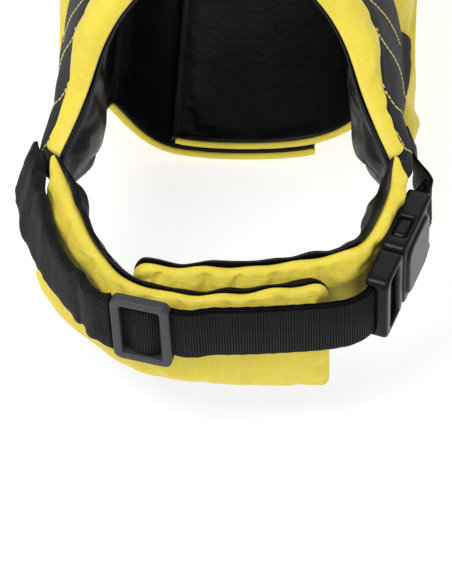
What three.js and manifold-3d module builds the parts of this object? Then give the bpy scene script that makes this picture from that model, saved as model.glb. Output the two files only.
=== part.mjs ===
// Dog life jacket, small size, closed round an absent wearer: padded body with
// lapped belly flaps, a neck closure of two lapped chest bands, and webbing belts.
// Millimetres, +Z up, the neck opening towards -Y. The origin is on the inside of
// the back, on its top line, where the wearer's back carries the jacket.
import * as THREE from "three";
import { mergeVertices } from "three/addons/utils/BufferGeometryUtils.js";
import Module from "manifold-3d";

const wasm = await Module();
wasm.setup();

// Driving dimensions
const SEAM_GAP = 0.3; // clear distance between pieces that are sewn together
const LINING = 1.6; // thickness of the lining wall
const PAD = 9; // foam and shell of the back and side pads
const COLLAR_PAD = 8.5;
const BAND_PAD = 6; // chest bands
const YOKE_PAD = 6; // the thinner padded yoke behind the collar
const FLAP_PAD = 3.6; // the thin belly flaps
const PAD_EDGE = 1.4; // what is left of a pad's thickness at its seams
const NECK_BACK_Y = -95; // neckline at the withers
const NECK_SLOPE = 69; // how far the neckline runs forward as it goes round the sides
const NECK_END = 76; // angle from the spine at which the collar meets the chest bands
const HEM_Y = 155; // rear hem
const BELLY_FRONT_Y = -50; // front edge of the belly flaps, behind the legs
const COLLAR_WIDTH = 20;
const YOKE_WIDTH = 30; // on the spine; it grows towards the shoulders
const WEBBING = { width: 25, thick: 1.5 };

const COLOURS = {
  shell: 0xf0dc52,
  lining: 0x232325,
  yoke: 0x36363a,
  webbing: 0x161617,
  plastic: 0x2c2d2f,
};

const rad = THREE.MathUtils.degToRad;
const vec = (x, y, z) => new THREE.Vector3(x, y, z);
const clamp = THREE.MathUtils.clamp;
const lerp = THREE.MathUtils.lerp;
const smooth = (x, lo, hi) => THREE.MathUtils.smoothstep(x, lo, hi);

// The wearer's trunk, front to rear: half width, top and underside of the lining.
const TRUNK = [
  { y: -152, half: 65.5, top: 0, under: -142 },
  { y: -140, half: 60.5, top: 0, under: -142 },
  { y: -127, half: 58.5, top: 0, under: -142 },
  { y: -110, half: 61, top: 0, under: -142 },
  { y: -85, half: 63.5, top: 0, under: -142 },
  { y: -50, half: 64.5, top: 0, under: -142 },
  { y: 0, half: 65.5, top: 0, under: -141 },
  { y: 80, half: 63.5, top: -1, under: -133 },
  { y: 158, half: 57, top: -4, under: -119 },
];
const BELLY_FULL = 0.35; // how much squarer than a circle the lower half is
const SOFT_IN = 6; // how far the lining fills inwards at the front of the sides
const FLARE = 7; // how far the right side pad is pushed out behind the buckle

// A smooth curve through one column of a table, read at a value of its key column.
function column(table, key, name) {
  return (at) => {
    const last = table.length - 1;
    let i = 0;
    while (i < last - 1 && at > table[i + 1][key]) i++;
    const before = table[Math.max(i - 1, 0)];
    const a = table[i];
    const b = table[i + 1];
    const after = table[Math.min(i + 2, last)];
    const span = b[key] - a[key];
    const t = clamp((at - a[key]) / span, 0, 1);
    const slopeA = ((b[name] - before[name]) / (b[key] - before[key])) * span;
    const slopeB = ((after[name] - a[name]) / (after[key] - a[key])) * span;
    const t2 = t * t;
    const t3 = t2 * t;
    return (
      a[name] * (2 * t3 - 3 * t2 + 1) +
      slopeA * (t3 - 2 * t2 + t) +
      b[name] * (3 * t2 - 2 * t3) +
      slopeB * (t3 - t2)
    );
  };
}

const trunkHalf = column(TRUNK, "y", "half");
const trunkTop = column(TRUNK, "y", "top");
const trunkUnder = column(TRUNK, "y", "under");

// A point of the trunk: angle in degrees from the spine, positive towards +X.
function trunkSkin(y, angle) {
  const top = trunkTop(y);
  const under = trunkUnder(y);
  const middle = (top + under) / 2;
  const c = Math.cos(rad(angle));
  const height = c < 0 ? c * (1 + BELLY_FULL * (1 - c * c)) : c;
  return vec(trunkHalf(y) * Math.sin(rad(angle)), y, middle + (top - middle) * height);
}

// The same point moved out of the trunk by a distance.
function trunk(y, angle, out) {
  const along = trunkSkin(y + 0.5, angle).sub(trunkSkin(y - 0.5, angle));
  const around = trunkSkin(y, angle + 0.5).sub(trunkSkin(y, angle - 0.5));
  const normal = around.cross(along).normalize();
  return trunkSkin(y, angle).addScaledVector(normal, out);
}

// How far the lining stands into the trunk at a place.
function softIn(angle, y) {
  const a = Math.abs(angle);
  const around = smooth(a, 48, 82) * (1 - smooth(a, 94, 122));
  return SOFT_IN * around * smooth(y, -147, -112) * (1 - smooth(y, -90, 50));
}

// A closed solid between two grids of points, outer[i][j] over inner[i][j].
function slab(outer, inner) {
  const rows = outer.length;
  const cols = outer[0].length;
  const points = [];
  for (const grid of [outer, inner]) {
    for (const row of grid) for (const p of row) points.push(p.x, p.y, p.z);
  }
  const top = (i, j) => i * cols + j;
  const low = (i, j) => rows * cols + i * cols + j;
  const faces = [];
  const quad = (a, b, c, d) => faces.push(a, b, c, a, c, d);
  for (let i = 0; i < rows - 1; i++) {
    for (let j = 0; j < cols - 1; j++) {
      quad(top(i, j), top(i + 1, j), top(i + 1, j + 1), top(i, j + 1));
      quad(low(i, j), low(i, j + 1), low(i + 1, j + 1), low(i + 1, j));
    }
  }
  for (let i = 0; i < rows - 1; i++) {
    quad(top(i, 0), low(i, 0), low(i + 1, 0), top(i + 1, 0));
    quad(top(i, cols - 1), top(i + 1, cols - 1), low(i + 1, cols - 1), low(i, cols - 1));
  }
  for (let j = 0; j < cols - 1; j++) {
    quad(top(0, j), top(0, j + 1), low(0, j + 1), low(0, j));
    quad(top(rows - 1, j), low(rows - 1, j), low(rows - 1, j + 1), top(rows - 1, j + 1));
  }
  return outward(solidGeometry(points, faces));
}

function solidGeometry(points, faces) {
  const geometry = new THREE.BufferGeometry();
  geometry.setAttribute("position", new THREE.Float32BufferAttribute(points, 3));
  geometry.setIndex(faces);
  return geometry;
}

// Turns the faces round if the solid is inside out.
function outward(geometry) {
  const p = geometry.getAttribute("position");
  const index = geometry.getIndex();
  const corner = (k) => new THREE.Vector3().fromBufferAttribute(p, index.getX(k));
  let volume = 0;
  for (let k = 0; k < index.count; k += 3) {
    volume += corner(k).dot(corner(k + 1).cross(corner(k + 2)));
  }
  if (volume < 0) {
    for (let k = 0; k < index.count; k += 3) {
      const second = index.getX(k + 1);
      index.setX(k + 1, index.getX(k + 2));
      index.setX(k + 2, second);
    }
  }
  return geometry;
}

const steps = (from, to, count) =>
  Array.from({ length: count + 1 }, (_, i) => lerp(from, to, i / count));

// Steps that crowd towards both ends, so that a pad's rounded edge has its points.
const edgeSteps = (from, to, count) =>
  steps(0, 1, count).map((t) => lerp(from, to, lerp(t, (1 - Math.cos(Math.PI * t)) / 2, 0.75)));

// How full a pad is: 0 on its seam, 1 from its rim inwards.
function crown(share) {
  const near = clamp(share, 0, 1);
  return Math.sqrt(1 - (1 - near) * (1 - near));
}

// A pad's thickness at a distance from its nearest seam.
const padded = (full, rim) => (distance) =>
  PAD_EDGE + (full - PAD_EDGE) * crown(distance / rim);

// The distance from a point to the nearest side of a closed outline of [x, y] points.
function outlineDistance(outline, x, y) {
  let best = Infinity;
  outline.forEach(([ax, ay], i) => {
    const [bx, by] = outline[(i + 1) % outline.length];
    const dx = bx - ax;
    const dy = by - ay;
    const t = clamp(((x - ax) * dx + (y - ay) * dy) / (dx * dx + dy * dy || 1), 0, 1);
    best = Math.min(best, Math.hypot(x - ax - t * dx, y - ay - t * dy));
  });
  return best;
}

const MEAN_RADIUS = 68;

// A piece cut to lie on the trunk: rows at angles, columns from front(angle) to
// rear(angle). thick(distance from the seam, angle, y) gives its thickness.
function trunkPiece({ angles, front, rear, cols, base, thick, follow = false, shares }) {
  shares ??= edgeSteps(0, 1, cols);
  const across = (angle) => rad(angle) * MEAN_RADIUS;
  const outline = [
    ...angles.map((angle) => [across(angle), front(angle)]),
    ...angles.map((angle) => [across(angle), rear(angle)]).reverse(),
  ];
  const outer = [];
  const inner = [];
  for (const angle of angles) {
    const places = shares.map((v) => lerp(front(angle), rear(angle), v));
    const depth = (y) => base(angle) - (follow ? 1 : 0.6) * softIn(angle, y);
    inner.push(places.map((y) => trunk(y, angle, depth(y))));
    outer.push(
      places.map((y) => {
        const height = thick(outlineDistance(outline, across(angle), y), angle, y);
        return trunk(y, angle, (follow ? depth(y) : base(angle)) + height);
      }),
    );
  }
  return slab(outer, inner);
}

// Outlines on the trunk, each a place along Y for an angle from the spine
const ARM_TOP = 92; // angle where the armhole leaves the chest band
const ARM_BACK = 122; // angle where it meets the belly flap
const YOKE_END = 90; // angle where the yoke ends beside the chest bands
const neckline = (angle) =>
  NECK_BACK_Y - NECK_SLOPE * (1 - Math.cos(rad(Math.min(Math.abs(angle), NECK_END))));
const collarSeam = (angle) =>
  neckline(angle) + COLLAR_WIDTH * (1 - 0.85 * smooth(Math.abs(angle), NECK_END - 22, NECK_END + 2));
const SHOULDER_Y = neckline(NECK_END); // where the chest bands are sewn on
const yokeFront = (angle) =>
  lerp(collarSeam(angle), SHOULDER_Y, smooth(Math.abs(angle), NECK_END, NECK_END + 5));
const yokeSeam = (angle) => {
  const a = Math.abs(angle);
  const across = NECK_BACK_Y + COLLAR_WIDTH + YOKE_WIDTH - 22 * smooth(a, 15, 80);
  return lerp(across, SHOULDER_Y + 6, smooth(a, YOKE_END - 4, YOKE_END));
};
const armhole = (angle) => {
  const share = clamp((Math.abs(angle) - ARM_TOP) / (ARM_BACK - ARM_TOP), 0, 1);
  return lerp(SHOULDER_Y, BELLY_FRONT_Y, share ** 0.8);
};
const hem = (angle) => HEM_Y - 14 * smooth(Math.abs(angle), 60, 150);

const material = (name, roughness = 0.85) =>
  new THREE.MeshStandardMaterial({ color: COLOURS[name], roughness, metalness: 0 });

const group = new THREE.Group();
function add(name, geometry, finish) {
  const mesh = new THREE.Mesh(geometry, finish);
  mesh.name = name;
  group.add(mesh);
  return mesh;
}

const flat = (value) => () => value;
const shellBase = flat(LINING + SEAM_GAP + 0.2);

// Body: lining, collar, yoke, back and side pads. Pieces that share a seam take their
// rows at the same angles.
const NECK_ROWS = steps(-NECK_END, NECK_END, 32);
const SHOULDER_ROWS = [79, 82, 84, 86, 88, YOKE_END];
const BACK_EDGE = NECK_ROWS[25]; // angle of the seam between back and side pads

function bodyLining() {
  return trunkPiece({
    angles: steps(-ARM_BACK, ARM_BACK, 46),
    front: (angle) => Math.max(neckline(angle), armhole(angle)),
    rear: hem,
    shares: steps(0, 1, 14).map((t) => lerp(t, t * t, 0.6)),
    base: flat(0),
    thick: flat(LINING),
    follow: true,
  });
}

function collar() {
  return trunkPiece({
    angles: NECK_ROWS,
    front: neckline,
    rear: (angle) => collarSeam(angle) - SEAM_GAP,
    cols: 6,
    base: shellBase,
    thick: padded(COLLAR_PAD, 7),
  });
}

function yoke() {
  return trunkPiece({
    angles: [...SHOULDER_ROWS.map((a) => -a).reverse(), ...NECK_ROWS, ...SHOULDER_ROWS],
    front: yokeFront,
    // the seam runs steeply near the end, so its gap along Y is wider there
    rear: (angle) =>
      yokeSeam(angle) - SEAM_GAP - 2.6 * smooth(Math.abs(angle), YOKE_END - 10, YOKE_END - 5),
    cols: 8,
    base: shellBase,
    thick: (distance, angle, y) => padded(YOKE_PAD + shoulder(angle, y), 9)(distance),
  });
}

// The yoke fills out towards the front of the shoulders.
const shoulder = (angle, y) =>
  smooth(Math.abs(angle), 48, 76) * lerp(1, 6, 1 - smooth(y, -128, -82));

const rim = [0.25, 1.2, 2.8]; // extra rows in the rounded edge of a pad
function backPad() {
  const within = NECK_ROWS.filter((angle) => Math.abs(angle) < BACK_EDGE - 1);
  return trunkPiece({
    angles: [...rim.map((a) => a - BACK_EDGE), ...within, ...rim.map((a) => BACK_EDGE - a).reverse()],
    front: yokeSeam,
    rear: hem,
    cols: 10,
    base: shellBase,
    thick: padded(PAD, 12),
  });
}

function sidePad(side) {
  const underYoke = (angle) => smooth(Math.abs(angle), YOKE_END, YOKE_END + 1.6);
  const front = (angle) =>
    Math.max(lerp(yokeSeam(angle), SHOULDER_Y, underYoke(angle)), armhole(angle));
  const pushed = (angle, y) =>
    side > 0 ? FLARE * smooth(Math.abs(angle), 82, 98) * (1 - smooth(y, -115, -45)) : 0;
  const angles = [
    ...rim.map((a) => BACK_EDGE + a),
    ...NECK_ROWS.filter((angle) => angle > BACK_EDGE + 3),
    ...SHOULDER_ROWS,
    YOKE_END + 1.6,
    ...steps(YOKE_END + 4, ARM_BACK - 5, 6),
    ...rim.map((a) => ARM_BACK - a).reverse(),
  ];
  const pad = (distance, angle, y) =>
    padded(PAD, 12)(distance) + pushed(angle, y) * crown(distance / 14);
  return trunkPiece({
    angles: angles.map((angle) => side * angle),
    front,
    rear: hem,
    cols: 11,
    base: shellBase,
    thick: pad,
  });
}

// Belly: the +X flap lies inside, the -X flap laps under it
const FLAP_END = { inner: 208, outer: 207 };
function bellyPiece(side, lap, base, thick) {
  const end = lap ? FLAP_END.outer : FLAP_END.inner;
  const step = lap * (LINING + FLAP_PAD + 3 * SEAM_GAP);
  const lapped = (angle) => step * smooth(Math.abs(angle), ARM_BACK + 4, ARM_BACK + 34);
  return trunkPiece({
    angles: steps(side * (ARM_BACK + 0.3), side * end, 19),
    front: flat(BELLY_FRONT_Y),
    rear: hem,
    cols: 6,
    base: (angle) => lapped(angle) + base,
    thick,
  });
}

const bellyShell = (side, lap) =>
  bellyPiece(side, lap, LINING + SEAM_GAP, padded(FLAP_PAD, 7));
const bellyLining = (side, lap) => bellyPiece(side, lap, 0, flat(LINING));

add("body_lining", bodyLining(), material("lining"));
add("collar", collar(), material("shell"));
add("yoke", yoke(), material("yoke"));
add("back_pad", backPad(), material("shell"));
add("side_pad_right", sidePad(1), material("shell"));
add("side_pad_left", sidePad(-1), material("shell"));
add("belly_flap_right", bellyShell(1, 0), material("shell"));
add("belly_lining_right", bellyLining(1, 0), material("lining"));
add("belly_flap_left", bellyShell(-1, 1), material("shell"));
add("belly_lining_left", bellyLining(-1, 1), material("lining"));

// Neck closure: two padded bands lapped over the chest. Each row is a place on the
// inner face of the lining, from the shoulder seam to the free end: top and low are
// its edges, lean how far the low edge stands out, fill how far the lining fills in.
const INNER_BAND = [
  { s: 0, x: 63.6, y: -147.7, top: -54.5, low: -80, lean: 1, fill: 0 },
  { s: 1, x: 62, y: -158, top: -60, low: -98, lean: 0, fill: 6 },
  { s: 2, x: 57, y: -170.5, top: -65, low: -107, lean: 0, fill: 6.5 },
  { s: 3, x: 46, y: -180.5, top: -69, low: -113, lean: 2, fill: 6 },
  { s: 4, x: 19, y: -184.5, top: -71, low: -116, lean: 0, fill: 3 },
  { s: 5, x: -7, y: -186, top: -71.5, low: -116, lean: 0, fill: 2.5 },
  { s: 6, x: -33.5, y: -184, top: -71.5, low: -115, lean: 0, fill: 1 },
];
const OUTER_BAND = [
  { s: 0, x: -63.6, y: -147.7, top: -54.5, low: -80, lean: 1, fill: 0 },
  { s: 1, x: -58, y: -157.5, top: -59, low: -101, lean: 14, fill: 6 },
  { s: 2, x: -54, y: -168, top: -63, low: -111, lean: 12, fill: 7 },
  { s: 3, x: -44, y: -183, top: -69, low: -117, lean: 5, fill: 5 },
  { s: 4, x: -27, y: -196.2, top: -73, low: -121, lean: 0, fill: 0.5 },
  { s: 5, x: 5, y: -197, top: -73.5, low: -125, lean: 0, fill: 0 },
  { s: 6, x: 41, y: -192.5, top: -71.5, low: -130, lean: 0, fill: 0 },
];

// A point of a chest band: s along it, v from its top edge to its low edge.
function bandPoint(rows, side) {
  const [x, y, top, low, lean, fill] = ["x", "y", "top", "low", "lean", "fill"].map((name) =>
    column(rows, "s", name),
  );
  const end = rows[rows.length - 1].s;
  return (s, v, out, follow) => {
    const before = clamp(s - 0.05, 0, end);
    const after = clamp(s + 0.05, 0, end);
    const run = vec(x(after) - x(before), y(after) - y(before), 0).normalize();
    const normal = vec(-side * run.y, side * run.x, 0);
    const inwards = follow ? fill(s) * Math.sin(Math.PI * v ** 0.7) : 0;
    return vec(x(s), y(s), lerp(top(s), low(s), v)).addScaledVector(
      normal,
      out + lean(s) * v - inwards,
    );
  };
}

// A band's thickness: rounded at its edges, pressed in under the buckle and the sleeve.
function bandThick(s, v, end, side) {
  const edge = Math.min(Math.min(s, end - s) * 27, 44 * Math.min(v, 1 - v));
  const pressed =
    side > 0
      ? 3.8 * smooth(s, 0.1, 0.5) * (1 - smooth(s, 2.4, 3)) * smooth(v, 0.04, 0.15)
      : 1.7 * smooth(s, 0.2, 0.8) * (1 - smooth(s, 3, 3.6)) * smooth(v, 0.08, 0.2);
  return padded(BAND_PAD - pressed, 9)(edge);
}

function bandPiece(rows, side, base, thick, follow) {
  const at = bandPoint(rows, side);
  const end = rows[rows.length - 1].s;
  const outer = [];
  const inner = [];
  for (const s of edgeSteps(0, end, 25)) {
    const across = edgeSteps(0, 1, 8);
    outer.push(across.map((v) => at(s, v, base + thick(s, v, end, side), follow)));
    inner.push(across.map((v) => at(s, v, base, true)));
  }
  return slab(outer, inner);
}

for (const [name, rows, side] of [
  ["chest_band_right", INNER_BAND, 1],
  ["chest_band_left", OUTER_BAND, -1],
]) {
  const shell = bandPiece(rows, side, LINING + SEAM_GAP, bandThick, false);
  add(name, shell, material("shell"));
  add(name + "_lining", bandPiece(rows, side, 0, flat(LINING), true), material("lining"));
}

// The side-release buckle. Its own x runs from the strap bar to the belt loop, its z
// outwards; it lies straight against the right chest band.
const BUCKLE_FROM = vec(75.7, -149.5, -83);
const BUCKLE_TO = vec(58.6, -198.9, -83.5);
const buckleRun = BUCKLE_TO.clone().sub(BUCKLE_FROM).normalize();
const buckleOut = vec(-buckleRun.y, buckleRun.x, 0).normalize();
const buckleUp = buckleRun.clone().cross(buckleOut).normalize();
const inBuckle = (along, out) =>
  BUCKLE_FROM.clone().addScaledVector(buckleRun, along).addScaledVector(buckleOut, out);

// A webbing: places with the face its thickness stands on and the way its edge faces.
function webbing(places) {
  const inner = [];
  const outer = [];
  places.forEach(({ p, up }, i) => {
    const run = places[Math.min(i + 1, places.length - 1)].p.clone();
    run.sub(places[Math.max(i - 1, 0)].p).normalize();
    const across = up.clone().addScaledVector(run, -up.dot(run)).normalize();
    const normal = across.clone().cross(run).normalize();
    const edges = [WEBBING.width / 2, -WEBBING.width / 2].map((half) =>
      p.clone().addScaledVector(across, half),
    );
    inner.push(edges);
    outer.push(edges.map((e) => e.clone().addScaledVector(normal, WEBBING.thick)));
  });
  return slab(outer, inner);
}

const turn = (cx, cz, radius, from, to, count) =>
  steps(from, to, count).map((a) => [cx + radius * Math.cos(rad(a)), cz + radius * Math.sin(rad(a))]);
const buckled = (list) => list.map(([along, out]) => ({ p: inBuckle(along, out), up: buckleUp }));

// The neck belt runs over the front from the buckle to the left shoulder
const NECK_BELT = [
  { x: 57.4, y: -190.1, z: -83.4 },
  { x: 54.8, y: -197.7, z: -83.5 },
  { x: 49.5, y: -202, z: -83.6 },
  { x: 42, y: -204.2, z: -83.6 },
  { x: 27, y: -206.2, z: -83.5 },
  { x: 5, y: -208, z: -83.3 },
  { x: -17, y: -207.6, z: -83.3 },
  { x: -30, y: -205.2, z: -83.3 },
  { x: -43, y: -199.6, z: -83 },
  { x: -54.5, y: -189.6, z: -81.5 },
  { x: -64.9, y: -174.4, z: -78 },
  { x: -71.2, y: -160, z: -74.5 },
  { x: -74.8, y: -146, z: -71 },
  { x: -76, y: -133, z: -67 },
];
const SLIDER_D = 93; // belt length from the buckle to the middle of the slider
const beltCurve = new THREE.CatmullRomCurve3(
  NECK_BELT.map((r) => vec(r.x, r.y, r.z)),
  false,
  "centripetal",
);
beltCurve.arcLengthDivisions = 600;
const beltLength = beltCurve.getLength();
const beltRaw = (d) => beltCurve.getPointAt(clamp(d / beltLength, 0, 1));
const sliderPlace = beltRaw(SLIDER_D);
const sliderRun = beltRaw(SLIDER_D + 6).sub(beltRaw(SLIDER_D - 6)).normalize();
// The belt is straight where it passes the slider.
function beltLine(d) {
  const straight = sliderPlace.clone().addScaledVector(sliderRun, d - SLIDER_D);
  return beltRaw(d).lerp(straight, 1 - smooth(Math.abs(d - SLIDER_D), 14, 26));
}
const beltUp = (d) =>
  buckleUp.clone().lerp(vec(0, 0, 1), smooth(d, 8, 40)).lerp(vec(0.27, 0.09, 0.96), smooth(d, 125, 170));
function beltPlace(d, out) {
  const run = beltLine(d + 0.5).sub(beltLine(d - 0.5)).normalize();
  const up = beltUp(d);
  const across = up.clone().addScaledVector(run, -up.dot(run)).normalize();
  const normal = across.clone().cross(run).normalize();
  return { p: beltLine(d).addScaledVector(normal, out), up: across, run, normal };
}

const SLIDER = { long: 23, high: 33, bar: 3.4, rail: 3, low: 2.2, top: 6.5, centre: 3.6 };
const overBar = (d) => 2 * (1 - smooth(Math.abs(d - SLIDER_D), 2.3, 6.6));
const BELT_END = beltLength - 18;
function neckBelt() {
  const under = steps(SLIDER_D + 2, 6, 22).map((d) => beltPlace(d, 1.8));
  const fold = buckled([
    [48.5, -1.9],
    [46.5, -1.75],
    [44.6, -1.4],
    [43.2, -1.3],
    ...turn(42.2, 0.2, 1.5, -90, -270, 10),
    ...turn(42.8, 0.2, 1.5, 90, 25, 4),
    [45, -0.2],
    [46.1, -1.2],
    [47.2, -1.6],
    [48.5, -1.6],
  ]);
  const over = [
    ...steps(6, SLIDER_D - 10, 18),
    ...steps(SLIDER_D - 8, SLIDER_D + 8, 14),
    ...steps(SLIDER_D + 10, BELT_END, 16),
  ].map((d) => beltPlace(d, 2.1 + overBar(d)));
  return webbing([...under, ...fold, ...over]);
}

// Buckle strap: sewn to the yoke, folded round the bar of the buckle
function buckleStrap() {
  const yokeLine = new THREE.CatmullRomCurve3([
    vec(74.6, -121, -66),
    vec(75.6, -130, -70),
    inBuckle(-10, 0.15),
    inBuckle(-4, 0.9),
  ]);
  const up = (t) => vec(-0.1, -0.3, 0.9).lerp(buckleUp, t);
  return webbing([
    ...steps(0, 1, 14).map((t) => ({ p: yokeLine.getPointAt(t), up: up(t) })),
    ...buckled([[-1.5, 1.5], [0.4, 1.7]]),
    ...buckled(turn(1.9, 0, 1.7, 90, -90, 10)),
    ...buckled([[0.4, -1.7], [-1.5, -1.5], [-4, -0.9], [-6.5, -0.35], [-9, -0.2]]),
  ]);
}

// Hard parts, each cut from rounded blocks in its own frame
function solid(geometry) {
  geometry.deleteAttribute("normal");
  geometry.deleteAttribute("uv");
  const merged = mergeVertices(geometry, 1e-4);
  const vertProperties = Float32Array.from(merged.getAttribute("position").array);
  const triVerts = Uint32Array.from(merged.getIndex().array);
  return new wasm.Manifold(new wasm.Mesh({ numProp: 3, vertProperties, triVerts }));
}
function roundedShape(width, height, radius) {
  const x = width / 2;
  const y = height / 2;
  const shape = new THREE.Shape();
  shape.moveTo(-x + radius, -y);
  shape.lineTo(x - radius, -y);
  shape.absarc(x - radius, -y + radius, radius, -Math.PI / 2, 0);
  shape.lineTo(x, y - radius);
  shape.absarc(x - radius, y - radius, radius, 0, Math.PI / 2);
  shape.lineTo(-x + radius, y);
  shape.absarc(-x + radius, y - radius, radius, Math.PI / 2, Math.PI);
  shape.lineTo(-x, -y + radius);
  shape.absarc(-x + radius, -y + radius, radius, Math.PI, 1.5 * Math.PI);
  return shape;
}
const extruded = (shape, depth) =>
  new THREE.ExtrudeGeometry(shape, { depth, bevelEnabled: false, curveSegments: 3 });
const plate = (x0, x1, y0, y1, z0, z1, radius) =>
  solid(
    extruded(roundedShape(x1 - x0, y1 - y0, radius), z1 - z0).translate((x0 + x1) / 2, (y0 + y1) / 2, z0),
  );
const block = (x0, x1, y0, y1, z0, z1) =>
  solid(
    new THREE.BoxGeometry(x1 - x0, y1 - y0, z1 - z0).translate((x0 + x1) / 2, (y0 + y1) / 2, (z0 + z1) / 2),
  );
// A round-edged bar along y
const bar = (x0, x1, y, z0, z1) =>
  solid(
    extruded(roundedShape(x1 - x0, z1 - z0, (z1 - z0) * 0.48), 2 * y)
      .translate(0, 0, -y)
      .rotateX(Math.PI / 2)
      .translate((x0 + x1) / 2, 0, (z0 + z1) / 2),
  );
function hard(body, origin, xAxis, zAxis) {
  const { vertProperties, triVerts, numProp } = body.getMesh();
  const points = [];
  for (let k = 0; k < vertProperties.length; k += numProp) {
    points.push(vertProperties[k], vertProperties[k + 1], vertProperties[k + 2]);
  }
  const geometry = solidGeometry(points, Array.from(triVerts));
  const yAxis = zAxis.clone().cross(xAxis).normalize();
  const place = new THREE.Matrix4().makeBasis(xAxis, yAxis, zAxis).setPosition(origin);
  return outward(geometry.applyMatrix4(place));
}

function slider() {
  const { long, high, bar: side, rail, low, top, centre } = SLIDER;
  const x = long / 2;
  const y = high / 2;
  const frame = plate(-x, x, -y, y, low, top, 3.2)
    .subtract(plate(-x + side, x - side, -y + rail, y - rail, low - 1, top + 1, 1.4))
    .subtract(block(-x - 1, x + 1, -13.2, 13.2, low - 1, 3.9))
    .add(bar(-1.9, 1.9, y - 1, low + 0.1, centre + 0.1));
  const at = beltPlace(SLIDER_D, 0);
  return hard(frame, at.p, at.run, at.normal);
}

function buckleFemale() {
  const body = plate(0, 33, -15.5, 15.5, -4.2, 4.8, 3)
    .add(plate(6.8, 31, -12.5, 12.5, 4, 6.2, 5))
    .subtract(block(-1, 6.6, -13.1, 13.1, -7, 7))
    .add(bar(0.6, 3.3, 14, -1.35, 1.35))
    .subtract(block(12, 34, -12.8, 12.8, -3, 3))
    .subtract(block(15.5, 26.5, -17, 17, -3.1, 3.1));
  return hard(body, BUCKLE_FROM, buckleRun, buckleOut);
}

function buckleMale() {
  const prong = (side) =>
    block(14.5, 34, Math.min(side * 8.6, side * 12.4), Math.max(side * 8.6, side * 12.4), -2.6, 2.6).add(
      plate(16.2, 25.8, Math.min(side * 9, side * 15), Math.max(side * 9, side * 15), -2.6, 2.6, 1.6),
    );
  const body = plate(33.4, 52, -15.5, 15.5, -4.2, 4.5, 3)
    .subtract(plate(38, 47.5, -13.1, 13.1, -6, 6, 0.8))
    .subtract(block(46, 53, -13.1, 13.1, -6, 0.2))
    .add(bar(41, 44, 14, -1, 1.4))
    .add(prong(1))
    .add(prong(-1));
  return hard(body, BUCKLE_FROM, buckleRun, buckleOut);
}

// Belt sleeve: a flat tube of cloth sewn to the left shoulder, round the belt's end
function beltSleeve() {
  const ring = (d, half, low, high) => {
    const { p, up, normal } = beltPlace(d, 0);
    const corner = (a, b) => p.clone().addScaledVector(up, a).addScaledVector(normal, b);
    const soft = Math.min(1, (high - low) / 3);
    return [
      corner(half, lerp(low, high, 0.5)),
      corner(half - soft, high),
      corner(half / 2, high),
      corner(-half / 2, high),
      corner(-half + soft, high),
      corner(-half, lerp(low, high, 0.5)),
      corner(-half + soft, low),
      corner(half - soft, low),
    ];
  };
  const wall = 1.2;
  const outerRings = [];
  const innerRings = [];
  const from = SLIDER_D + 12.4;
  for (const d of steps(from, beltLength - 0.5, 18)) {
    const close = smooth(d, beltLength - 10, beltLength);
    const half = 14.7 - 5 * close;
    outerRings.push(ring(d, half, 0.35, lerp(5.4, 3, close)));
    if (d < beltLength - 11) innerRings.push(ring(d, 14.7 - wall, 0.35 + wall, 5.4 - wall));
  }
  return outward(tube(outerRings, innerRings));
}

// A tube open at its first ring and closed at its last, from rings of equal counts.
function tube(outerRings, innerRings) {
  const count = outerRings[0].length;
  const points = [];
  for (const ring of [...outerRings, ...innerRings]) for (const q of ring) points.push(q.x, q.y, q.z);
  const faces = [];
  const skin = (start, rings, flip) => {
    for (let i = 0; i < rings - 1; i++) {
      for (let j = 0; j < count; j++) {
        const a = start + i * count + j;
        const b = start + i * count + ((j + 1) % count);
        const [c, d] = [b + count, a + count];
        if (flip) faces.push(a, c, b, a, d, c);
        else faces.push(a, b, c, a, c, d);
      }
    }
  };
  const inside = outerRings.length * count;
  skin(0, outerRings.length, false);
  skin(inside, innerRings.length, true);
  for (let j = 0; j < count; j++) {
    const next = (j + 1) % count;
    faces.push(j, inside + j, inside + next, j, inside + next, next);
  }
  const end = (outerRings.length - 1) * count;
  const innerEnd = inside + (innerRings.length - 1) * count;
  for (let j = 1; j < count - 1; j++) {
    faces.push(end, end + j, end + j + 1);
    faces.push(innerEnd, innerEnd + j + 1, innerEnd + j);
  }
  return solidGeometry(points, faces);
}

add("neck_belt", neckBelt(), material("webbing", 0.7));
add("belt_sleeve", beltSleeve(), material("yoke"));
add("slider", slider(), material("plastic", 0.4));
add("buckle_female", buckleFemale(), material("plastic", 0.4));
add("buckle_male", buckleMale(), material("plastic", 0.4));
add("buckle_strap", buckleStrap(), material("webbing", 0.7));

export default group;
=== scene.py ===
"""Looks of a small dog life jacket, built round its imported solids.

Every soft piece follows the same lines as its solid, in millimetres, and becomes
a mesh in metres. The neck opening is towards -Y and the buckle towards +X.
"""

import math
from contextlib import contextmanager

import bmesh
import bpy
import numpy as np
from bpy.props import FloatProperty, FloatVectorProperty, IntProperty, PointerProperty
from mathutils import Matrix, Vector
from mathutils.bvhtree import BVHTree


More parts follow.
